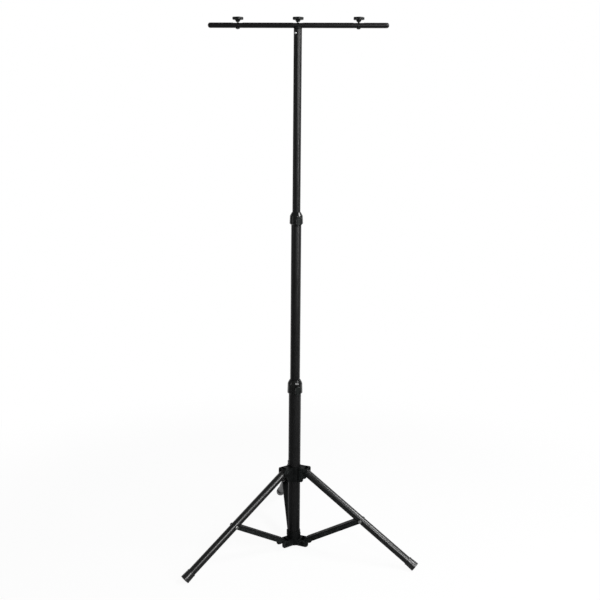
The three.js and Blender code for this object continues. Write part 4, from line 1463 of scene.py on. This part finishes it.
class STAND_OT_clamp_knobs(bpy.types.Operator):
    """Make the oval knobs of both collars and of the leg hub"""

    bl_idname = "lighting_stand.clamp_knobs"
    bl_label = "Clamp knobs"

    def oval(self, half_height, half_width, fullness, level):
        """A ring of the knob, upright along X, at a level of the clamp's axis."""
        ring = []
        for index in range(OVAL_SIDES):
            angle = 2 * math.pi * index / OVAL_SIDES
            x, y = math.cos(angle), math.sin(angle)
            ring.append(Vector((
                half_height * math.copysign(abs(x) ** fullness, x),
                half_width * math.copysign(abs(y) ** fullness, y), level)))
        return ring

    def knob(self, sizes, start):
        """A knob from its neck's foot outwards, with its face set into a rim."""
        neck_end = start + sizes.neck
        face = neck_end + sizes.depth
        rings = [[Vector((0.0, 0.0, start))]]
        for level in (start, neck_end):
            rings.append(self.oval(sizes.neck_radius, sizes.neck_radius, 1.0, level))
        tip = sizes.half_height
        sunk_face = face - sizes.face_depth
        flank = rounded([
            (tip - sizes.edge * 2, neck_end), (tip, neck_end, sizes.edge), (tip, face, sizes.edge),
            (tip - sizes.edge - sizes.rim, face), (tip - sizes.edge - sizes.rim * 1.5, sunk_face),
            (tip - sizes.edge * 3, sunk_face),
        ], sizes.face_depth / 2)
        for reach, level in flank:
            inset = tip - reach
            rings.append(self.oval(reach, sizes.half_width - inset, sizes.fullness, level))
        rings.append([Vector((0.0, 0.0, sunk_face))])
        return skinned(rings, OVAL_SIDES)

    def execute(self, context):
        sizes = context.scene.stand_knobs
        collars = context.scene.stand_collars
        hub_sleeve = radius_of("base_tube") + GAP + context.scene.stand_leg_hub.wall
        carriers = {
            "lower_collar_knob": plain_side("lower_collar"),
            "upper_collar_knob": plain_side("upper_collar"),
            "leg_hub_knob": hub_sleeve,
        }
        for node, carrier_radius in carriers.items():
            turn = joint(f"{node}_turn")
            axis = Vector(turn["axis"])
            mesh = self.knob(sizes, carrier_radius + collars.boss_proud + GAP)
            knob_matrix = axes(UP, axis.cross(UP), axis, turn["pos_m"])
            add_piece(f"{node}_moulding", placed(mesh, knob_matrix), node)
        return {"FINISHED"}


class STAND_OT_leg_hub(bpy.types.Operator):
    """Make the sliding hub with its three open arms and the boss of its knob"""

    bl_idname = "lighting_stand.leg_hub"
    bl_label = "Leg hub"

    def cheek_outline(self, sizes, bottom, top):
        """The side of a cheek: a lobe at its foot, and an arm with round corners above it."""
        arm_floor = bottom + sizes.arm_floor
        corner = sizes.corner
        reach = sizes.arm_reach
        lobe = sizes.lobe_reach
        halfway = lobe + (reach - lobe) / 4
        lobe_corner = (lobe + corner / 2, bottom + sizes.lobe_drop)
        under_arm = (reach - corner, arm_floor)
        outline = [Vector((0.0, bottom))]
        outline += curve_points((lobe - corner, bottom), (lobe, bottom), lobe_corner)
        outline += curve_points(lobe_corner, (halfway, arm_floor - corner), under_arm)[1:]
        outline += curve_points(under_arm, (reach, arm_floor), (reach, arm_floor + corner))[1:]
        outline += curve_points((reach, top - corner), (reach, top), (reach - corner, top))
        outline.append(Vector((0.0, top)))
        return outline

    def execute(self, context):
        sizes = context.scene.stand_leg_hub
        collars = context.scene.stand_collars
        bottom, top = heights_of("leg_hub")
        inner = radius_of("base_tube") + GAP
        outer = inner + sizes.wall
        lip = outer + sizes.lip
        body = turned(rounded([
            (inner, bottom), (lip, bottom), (lip, bottom + sizes.lip_height),
            (outer, bottom + sizes.lip_height), (outer, top - sizes.lip_height),
            (lip, top - sizes.lip_height), (lip, top), (inner, top),
        ], sizes.edge, closed=True), FINE_SIDES, closed=True)
        outside = sizes.arm_inside + sizes.arm_wall
        band = block(
            (sizes.arm_reach - sizes.band, -outside, top - sizes.band_height),
            (sizes.arm_reach - sizes.corner / 4, outside, top - sizes.edge / 2))
        round_edges(band, band.edges, sizes.edge)
        web_top = top - sizes.web_drop
        web = block(
            (0.0, -outside + sizes.edge, web_top - sizes.web_wall),
            (sizes.web_reach, outside - sizes.edge, web_top))
        outline = self.cheek_outline(sizes, bottom + sizes.edge, top)
        steps = on_each_arm(*cheeks(sizes, outline), band, web)
        boss = knob_boss("leg_hub", collars, inner + sizes.wall / 2, outer, sizes.edge)
        steps.append(("UNION", boss))
        steps.append(("DIFFERENCE", rod(inner, bottom - GAP, top + GAP, FINE_SIDES)))
        add_piece("leg_hub_pressing", combined(body, *steps), "leg_hub")
        return {"FINISHED"}


class STAND_OT_strut_hub(bpy.types.Operator):
    """Make the hub at the mast's foot, with its conical neck and three open arms"""

    bl_idname = "lighting_stand.strut_hub"
    bl_label = "Strut hub"

    def execute(self, context):
        sizes = context.scene.stand_strut_hub
        inner = radius_of("base_tube") + GAP
        bottom, neck_top = heights_of("strut_hub")
        body = turned(rounded([
            (inner, bottom), (inner + sizes.wall, bottom), (inner + sizes.wall, sizes.top),
            (inner + sizes.neck_wall, neck_top), (inner, neck_top),
        ], sizes.edge, closed=True), FINE_SIDES, closed=True)
        reach = sizes.arm_reach
        foot = bottom + sizes.edge
        top = sizes.top
        outline = [Vector((0.0, foot))]
        outline += curve_points((reach - sizes.toe, foot), (reach, foot), (reach, sizes.toe))
        outline += curve_points(
            (reach, top - sizes.corner), (reach, top), (reach - sizes.corner, top))
        outline.append(Vector((0.0, top)))
        outside = sizes.arm_inside + sizes.arm_wall
        web_top = top - sizes.web_drop
        web = block(
            (0.0, -outside + sizes.edge, web_top - sizes.arm_wall),
            (sizes.web_reach, outside - sizes.edge, web_top))
        steps = on_each_arm(*cheeks(sizes, outline), web)
        steps.append(("DIFFERENCE", rod(inner, bottom - GAP, neck_top + GAP, FINE_SIDES)))
        add_piece("strut_hub_pressing", combined(body, *steps), "strut_hub")
        return {"FINISHED"}


class STAND_OT_legs(bpy.types.Operator):
    """Make the three leg tubes with their plugs and rubber boots"""

    bl_idname = "lighting_stand.legs"
    bl_label = "Legs"

    def boot(self, sizes):
        """A boot on its leg's axis, with round grooves in its sole and a lip at its mouth."""
        foot = -sizes.reach
        mouth = foot + sizes.boot_length
        inner = sizes.radius + GAP
        lip = sizes.boot_top + sizes.lip_proud
        tread_pitch = sizes.sole_radius / (TREAD_GROOVES + 1)
        half_tread = sizes.tread / 2
        tread_top = foot + sizes.tread
        grooves = []
        for groove in range(1, TREAD_GROOVES + 1):
            inside = tread_pitch * groove - half_tread
            outside = tread_pitch * groove + half_tread
            corners = [(inside, foot), (inside, tread_top), (outside, tread_top), (outside, foot)]
            grooves += [(*corner, sizes.tread / 4) for corner in corners]
        profile = rounded([
            (0.0, foot), *grooves, (sizes.sole_radius, foot, sizes.tread),
            (sizes.boot_waist, foot + sizes.boot_length / 2, sizes.boot_length),
            (sizes.boot_top, mouth - sizes.lip, sizes.lip_proud),
            (lip, mouth - sizes.lip, sizes.lip_proud / 3), (lip, mouth, sizes.lip_proud / 2),
            (inner, mouth, GAP), (inner, foot + sizes.sole, GAP), (0.0, foot + sizes.sole),
        ], sizes.tread)
        return turned(profile)

    def plug(self, sizes):
        """A hollow plug in a leg's upper end, with a head on the tube's rim."""
        bore = sizes.radius - sizes.wall
        plug = bore - GAP
        seat = sizes.headroom + GAP
        tip = seat + sizes.plug_head
        foot = seat - sizes.plug_depth
        edge = sizes.plug_head / 2
        return turned(rounded([
            (0.0, seat - sizes.plug_head), (plug - sizes.plug_wall, seat - sizes.plug_head),
            (plug - sizes.plug_wall, foot), (plug, foot), (plug, seat, 0.0), (sizes.radius, seat),
            (sizes.radius, seat + edge, edge), (plug, tip, edge), (0.0, tip),
        ], GAP))

    def execute(self, context):
        sizes = context.scene.stand_legs
        rim = context.scene.stand_mast.rim
        for name in LEG_NAMES:
            place = leg_matrix(name)
            foot = sizes.sole + GAP - sizes.reach
            tube = sleeve(sizes.radius - sizes.wall, sizes.radius, foot, sizes.headroom, rim)
            add_piece(f"leg_tube_{name}_coated", placed(tube, place), f"leg_tube_{name}")
            add_piece(f"leg_plug_{name}_moulding", placed(self.plug(sizes), place), f"leg_plug_{name}")
            node = f"leg_boot_{name}"
            low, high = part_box(node)
            ground_low = (low[0] - GAP, low[1] - GAP, low[2] - sizes.boot_length)
            ground_high = (high[0] + GAP, high[1] + GAP, low[2])
            ground = block(ground_low, ground_high)
            whole = combined(placed(self.boot(sizes), place), ("DIFFERENCE", ground))
            add_piece(f"{node}_rubber", whole, node)
        return {"FINISHED"}


class STAND_OT_struts(bpy.types.Operator):
    """Make the three struts: channels of bent sheet, open below, with round ends"""

    bl_idname = "lighting_stand.struts"
    bl_label = "Struts"

    def channel(self, sizes, reach):
        """The bent sheet, from its section run along the strut and its side outline."""
        inside = sizes.inside
        outside = inside + sizes.wall
        bend_inside = max(sizes.bend - sizes.wall, GAP)
        top = sizes.web_height
        under_web = top - sizes.wall
        foot = -sizes.lip - GAP
        section = rounded([
            (-outside, foot, 0.0), (-inside, foot, 0.0),
            (-inside, under_web, bend_inside), (inside, under_web, bend_inside),
            (inside, foot, 0.0), (outside, foot, 0.0),
            (outside, top, sizes.bend), (-outside, top, sizes.bend),
        ], GAP, closed=True, steps=BEND_STEPS)
        nose = sizes.nose
        lip = sizes.lip
        shoulder = sizes.shoulder
        run = plate(section, -nose - GAP, reach + nose + GAP)
        web_end = reach - sizes.web_end
        tip = reach + nose
        outline = curve_points((reach, -lip), (tip, -lip), (tip, 0.0))
        outline += curve_points((tip, 0.0), (tip, shoulder), (reach, shoulder))[1:]
        outline += rounded([
            (reach - GAP, shoulder), (web_end + top, top + GAP, nose),
            (sizes.web_start - sizes.wall, top + GAP, nose), (GAP, shoulder),
        ], nose)
        outline += curve_points((0.0, shoulder), (-nose, shoulder), (-nose, 0.0))
        outline += curve_points((-nose, 0.0), (-nose, -lip), (0.0, -lip))[1:]
        sides = plate(outline, -outside - GAP, outside + GAP)
        along_strut = axes((0.0, 1.0, 0.0), (1.0, 0.0, 0.0), (0.0, 0.0, 1.0), (0.0, 0.0, 0.0))
        turned_run = placed(run, along_strut)
        bmesh.ops.recalc_face_normals(turned_run, faces=turned_run.faces)
        return combined(turned_run, ("INTERSECT", sides))

    def execute(self, context):
        sizes = context.scene.stand_struts
        for name in LEG_NAMES:
            _, way = strut_span(name)
            channel = placed(self.channel(sizes, way.length), strut_matrix(name))
            add_piece(f"strut_{name}_channel", channel, f"strut_{name}")
        return {"FINISHED"}


class STAND_OT_fasteners(bpy.types.Operator):
    """Make the rivets, pins and bolts of both hubs and of the struts"""

    bl_idname = "lighting_stand.fasteners"
    bl_label = "Rivets and pins"

    def rivets(self, tree, name, places, head, shank, nodes):
        """One piece of like rivets; head and shank are pairs of a diameter and a length."""
        sizes = bpy.context.scene.stand_fasteners
        mesh = grown(points_mesh(places), tree, {
            "Head diameter": head[0], "Head height": head[1], "Rim height": sizes.rim,
            "Shank diameter": shank[0], "Shank length": shank[1],
            "Finish": finishes[slot_of(nodes[0])],
        })
        add_piece(name, mesh, *nodes)

    def execute(self, context):
        sizes = context.scene.stand_fasteners
        leg_hub = context.scene.stand_leg_hub
        strut_hub = context.scene.stand_strut_hub
        strut = context.scene.stand_struts
        tree = rivet_tree()

        across = {name: across_leg(name) for name in LEG_NAMES}
        pivot_head = (sizes.pivot_head, sizes.pivot_height)
        pin_head = (sizes.pin_head, sizes.pin_height)
        pins = {
            "leg_pivot_bolt": ("leg_{}_fold", leg_hub, pivot_head, sizes.pivot_shank),
            "strut_pin": ("strut_{}_fold", strut_hub, pin_head, sizes.pin_shank),
        }
        for kind, (joint_name, hub, head, shank) in pins.items():
            seat = hub.arm_inside + hub.arm_wall + GAP
            places = []
            for name in LEG_NAMES:
                pivot = joint_place(joint_name.format(name))
                for way in (across[name], -across[name]):
                    places.append((pivot + way * seat, way))
            nodes = [f"{kind}_{name}" for name in LEG_NAMES]
            self.rivets(tree, f"{kind}s", places, head, (shank, seat), nodes)

        outside = strut.inside + strut.wall + GAP
        head = (sizes.rivet_head, sizes.rivet_height)
        shank = (sizes.rivet_shank, outside - strut.inside - GAP)
        for name in LEG_NAMES:
            nodes = [f"strut_rivet_{name}_a", f"strut_rivet_{name}_b"]
            middle = middle_of(*nodes)
            places = [(middle + way * outside, way) for way in (across[name], -across[name])]
            self.rivets(tree, f"strut_rivets_{name}", places, head, shank, nodes)

        nodes = [f"neck_rivet_{name}" for name in LEG_NAMES]
        foot = radius_of("base_tube") + GAP
        places = []
        for name, node in zip(LEG_NAMES, nodes):
            height = middle_of(node).z
            share_up = (height - strut_hub.top) / strut_hub.neck
            wall = strut_hub.wall + (strut_hub.neck_wall - strut_hub.wall) * share_up
            seat = foot + wall + GAP * 2
            way = radial(leg_azimuth(name))
            places.append((way * seat + UP * height, way))
        head = (sizes.neck_head, sizes.neck_height)
        self.rivets(tree, "neck_rivets", places, head, (sizes.neck_shank, seat - foot), nodes)
        return {"FINISHED"}


class STAND_OT_t_bar(bpy.types.Operator):
    """Make the bar with its flats, end caps and the nuts welded under it"""

    bl_idname = "lighting_stand.t_bar"
    bl_label = "T-bar"

    def cap(self, sizes, seat):
        """An end cap along Z: a dome on the bar's end and a spigot in its bore."""
        spigot = sizes.radius - sizes.wall - GAP
        dome = []
        for step in range(DOME_STEPS + 1):
            angle = math.pi / 2 * step / DOME_STEPS
            reach = sizes.cap_tip + (sizes.radius - sizes.cap_tip) * math.cos(angle)
            dome.append((reach, seat + sizes.cap_head * math.sin(angle), 0.0))
        return turned(rounded([
            (0.0, seat - sizes.cap_spigot), (spigot, seat - sizes.cap_spigot), (spigot, seat, 0.0),
            *dome, (0.0, seat + sizes.cap_head),
        ], GAP), ROD_SIDES)

    def nut(self, sizes):
        """A hexagon with its lower corners chamfered, coped to the bar that it is welded under."""
        corner = sizes.nut_flats / math.sqrt(3)
        foot = -sizes.radius - sizes.nut_proud
        rise = -sizes.radius + sizes.nut_rise
        flats_to_bar = arm_matrix(math.pi / HEXAGON_SIDES)
        hexagon = placed(rod(corner, foot, 0.0, HEXAGON_SIDES), flats_to_bar)
        chamfered = turned([
            (0.0, foot), (corner - sizes.nut_chamfer, foot),
            (corner, foot + sizes.nut_chamfer / 2), (corner, rise), (0.0, rise),
        ])
        underside = placed(rod(sizes.radius + GAP, -corner * 2, corner * 2), along(ALONG_BAR))
        bore = rod(sizes.hole_radius, foot - GAP, GAP)
        return combined(
            hexagon, ("INTERSECT", chamfered), ("DIFFERENCE", underside), ("DIFFERENCE", bore))

    def execute(self, context):
        sizes = context.scene.stand_bar
        low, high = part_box("t_bar")
        radius = sizes.radius
        inner = radius - sizes.wall
        rim = context.scene.stand_mast.rim
        tube = placed(sleeve(inner, radius, low[0], high[0], rim), along(ALONG_BAR))
        half_flat = sizes.flat_length / 2
        cuts = []
        for name in FIXTURE_NAMES:
            x = fixture_x(name)
            flat_low = (x - half_flat, -radius, radius - sizes.flat_depth)
            flat_high = (x + half_flat, radius, radius + GAP)
            hole = placed(rod(sizes.hole_radius, -radius * 2, radius * 2), shift(x, 0.0))
            cuts.append(("DIFFERENCE", block(flat_low, flat_high)))
            cuts.append(("DIFFERENCE", hole))
        rise = shift(0.0, bar_level())
        add_piece("t_bar_coated", placed(combined(tube, *cuts), rise), "t_bar")
        for name, way in (("right", 1.0), ("left", -1.0)):
            cap = placed(self.cap(sizes, high[0] + GAP), rise @ along((way, 0.0, 0.0)))
            add_piece(f"t_bar_cap_{name}_moulding", cap, f"t_bar_cap_{name}")
        for name in FIXTURE_NAMES:
            nut = placed(self.nut(sizes), shift(fixture_x(name), bar_level()))
            add_piece(f"fixture_nut_{name}_hexagon", nut, f"fixture_nut_{name}")
        return {"FINISHED"}


class STAND_OT_socket(bpy.types.Operator):
    """Make the socket between the top tube and the bar, and its screw"""

    bl_idname = "lighting_stand.socket"
    bl_label = "Bar socket"

    def execute(self, context):
        sizes = context.scene.stand_socket
        bar = context.scene.stand_bar
        level = bar_level()
        tube = radius_of("top_tube")
        shoulder = -sizes.shoulder
        foot = shoulder - sizes.spigot
        top = -sizes.saddle_drop
        reach = sizes.saddle_length
        flare = turned(rounded([
            (0.0, foot), (sizes.spigot_radius, foot), (sizes.spigot_radius, shoulder, 0.0),
            (tube, shoulder), (tube, shoulder + sizes.shoulder_wall, sizes.shoulder_wall * 3),
            (reach / 2, top), (0.0, top),
        ], sizes.edge), FINE_SIDES)
        bar_path = rod(bar.radius + GAP, -reach, reach, PLAIN_SIDES)
        saddle = rod(bar.radius + GAP + sizes.wall, -reach, reach, PLAIN_SIDES)
        keep = combined(
            placed(saddle, along(ALONG_BAR)),
            ("UNION", rod(tube + GAP / 2, foot - GAP, top, FINE_SIDES)))
        nut_floor = -bar.radius - bar.nut_proud - GAP
        pocket = rod(bar.nut_flats / math.sqrt(3) + GAP * 2, nut_floor, 0.0)
        stud_hole = rod(bar.hole_radius + GAP, nut_floor - bar.nut_rise, 0.0)
        whole = combined(
            flare, ("INTERSECT", keep), ("DIFFERENCE", placed(bar_path, along(ALONG_BAR))),
            ("DIFFERENCE", pocket), ("DIFFERENCE", stud_hole))
        add_piece("t_bar_socket_machined", placed(whole, shift(0.0, level)), "t_bar_socket")

        middle = middle_of("socket_screw")
        way = Vector((middle.x, middle.y, 0.0)).normalized()
        seat = tube + GAP
        tip = seat + sizes.screw_height
        inner_end = tube - sizes.screw_depth
        screw = turned(rounded([
            (0.0, inner_end), (sizes.screw_radius, inner_end), (sizes.screw_radius, seat),
            (sizes.screw_head, seat), (sizes.screw_head, seat + sizes.screw_height / 3),
            (sizes.screw_head * SCREW_FACE, tip, sizes.screw_height), (0.0, tip),
        ], GAP), SCREW_SIDES)
        recess = rod(sizes.recess, tip - sizes.recess_depth, tip + GAP, HEXAGON_SIDES)
        whole = combined(screw, ("DIFFERENCE", recess))
        screw_matrix = along(way, (0.0, 0.0, level - sizes.screw_drop))
        add_piece("socket_screw_dome", placed(whole, screw_matrix), "socket_screw")
        return {"FINISHED"}


class STAND_OT_fixture_knobs(bpy.types.Operator):
    """Make the three lobed knobs and their threaded studs"""

    bl_idname = "lighting_stand.fixture_knobs"
    bl_label = "Fixture knobs"

    def round_knob(self, sizes, foot, top, bore):
        """The knob before its lobes are drawn in, with the stud's bore in its foot."""
        under = top - sizes.head
        bore_top = under + sizes.stud_in_knob + GAP
        dish_floor = top - sizes.dish
        return turned(rounded([
            (0.0, bore_top), (bore, bore_top), (bore, foot), (sizes.neck_tip, foot),
            (sizes.neck_radius, under), (sizes.radius, under, sizes.edge),
            (sizes.radius, top, sizes.edge), (sizes.dish_radius, top),
            (sizes.dish_radius - sizes.dish / 2, dish_floor, sizes.dish / 2), (0.0, dish_floor),
        ], sizes.dish / 3), LOBED_SIDES)

    def execute(self, context):
        sizes = context.scene.stand_fixture_knobs
        lobes = lobe_tree()
        studs = stud_tree()
        for name in FIXTURE_NAMES:
            knob_node = f"fixture_knob_{name}"
            stud_node = f"fixture_stud_{name}"
            x = fixture_x(name)
            stud_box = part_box(stud_node)
            stud_radius = (stud_box[1][1] - stud_box[0][1]) / 2
            stud_low, stud_high = heights_of(stud_node)
            stud_length = stud_high - stud_low
            whole = self.round_knob(sizes, *heights_of(knob_node), stud_radius + GAP)
            knob = grown(whole, lobes, {
                "Lobes": float(sizes.lobes), "Lobe depth": sizes.lobe_depth,
                "Grip radius": sizes.radius, "Neck radius": sizes.neck_radius,
                "Finish": finishes[node_slots[knob_node]],
            })
            add_piece(f"{knob_node}_moulding", placed(knob, shift(x, 0.0)), knob_node)
            middle = Vector((x, 0.0, (stud_low + stud_high) / 2))
            rows = round(stud_length / sizes.thread_pitch * ROWS_PER_TURN)
            stud = grown(points_mesh([(middle, UP)]), studs, {
                "Diameter": stud_radius * 2, "Length": stud_length, "Pitch": sizes.thread_pitch,
                "Thread depth": sizes.thread_depth, "Rows": rows,
                "Finish": finishes[node_slots[stud_node]],
            })
            add_piece(f"{stud_node}_thread", stud, stud_node)
        return {"FINISHED"}


class STAND_PT_pieces(bpy.types.Panel):
    """Lists the stand's pieces and the sizes and finishes that they take"""

    bl_idname = "STAND_PT_pieces"
    bl_label = "Lighting stand"
    bl_space_type = "VIEW_3D"
    bl_region_type = "UI"
    bl_category = "Lighting stand"

    def draw(self, context):
        for operator, group in zip(OPERATORS, GROUPS):
            box = self.layout.box()
            box.operator(operator.bl_idname)
            settings = getattr(context.scene, group)
            for name in settings.__annotations__:
                box.prop(settings, name)


# The operators, in the order of their settings in GROUPS
OPERATORS = [
    STAND_OT_stage,
    STAND_OT_dress_nodes,
    STAND_OT_mast,
    STAND_OT_collars,
    STAND_OT_clamp_knobs,
    STAND_OT_leg_hub,
    STAND_OT_strut_hub,
    STAND_OT_legs,
    STAND_OT_struts,
    STAND_OT_fasteners,
    STAND_OT_t_bar,
    STAND_OT_socket,
    STAND_OT_fixture_knobs,
]
GROUPS = {
    "stand_stage": StageSettings,
    "stand_finishes": FinishSettings,
    "stand_mast": MastSettings,
    "stand_collars": CollarSettings,
    "stand_knobs": KnobSettings,
    "stand_leg_hub": LegHubSettings,
    "stand_strut_hub": StrutHubSettings,
    "stand_legs": LegSettings,
    "stand_struts": StrutSettings,
    "stand_fasteners": FastenerSettings,
    "stand_bar": BarSettings,
    "stand_socket": SocketSettings,
    "stand_fixture_knobs": FixtureKnobSettings,
}
CLASSES = [*GROUPS.values(), *OPERATORS, STAND_PT_pieces]


def register():
    for cls in CLASSES:
        bpy.utils.register_class(cls)
    for name, group in GROUPS.items():
        setattr(bpy.types.Scene, name, PointerProperty(type=group))


def unregister():
    for name in GROUPS:
        delattr(bpy.types.Scene, name)
    for cls in reversed(CLASSES):
        bpy.utils.unregister_class(cls)


def main():
    register()
    bpy.ops.lighting_stand.stage()
    finishes.update(make_finishes(bpy.context.scene.stand_finishes))
    bpy.ops.lighting_stand.dress_nodes()
    bpy.ops.lighting_stand.mast()
    bpy.ops.lighting_stand.collars()
    bpy.ops.lighting_stand.clamp_knobs()
    bpy.ops.lighting_stand.leg_hub()
    bpy.ops.lighting_stand.strut_hub()
    bpy.ops.lighting_stand.legs()
    bpy.ops.lighting_stand.struts()
    bpy.ops.lighting_stand.fasteners()
    bpy.ops.lighting_stand.t_bar()
    bpy.ops.lighting_stand.socket()
    bpy.ops.lighting_stand.fixture_knobs()


if __name__ == "__main__":
    main()
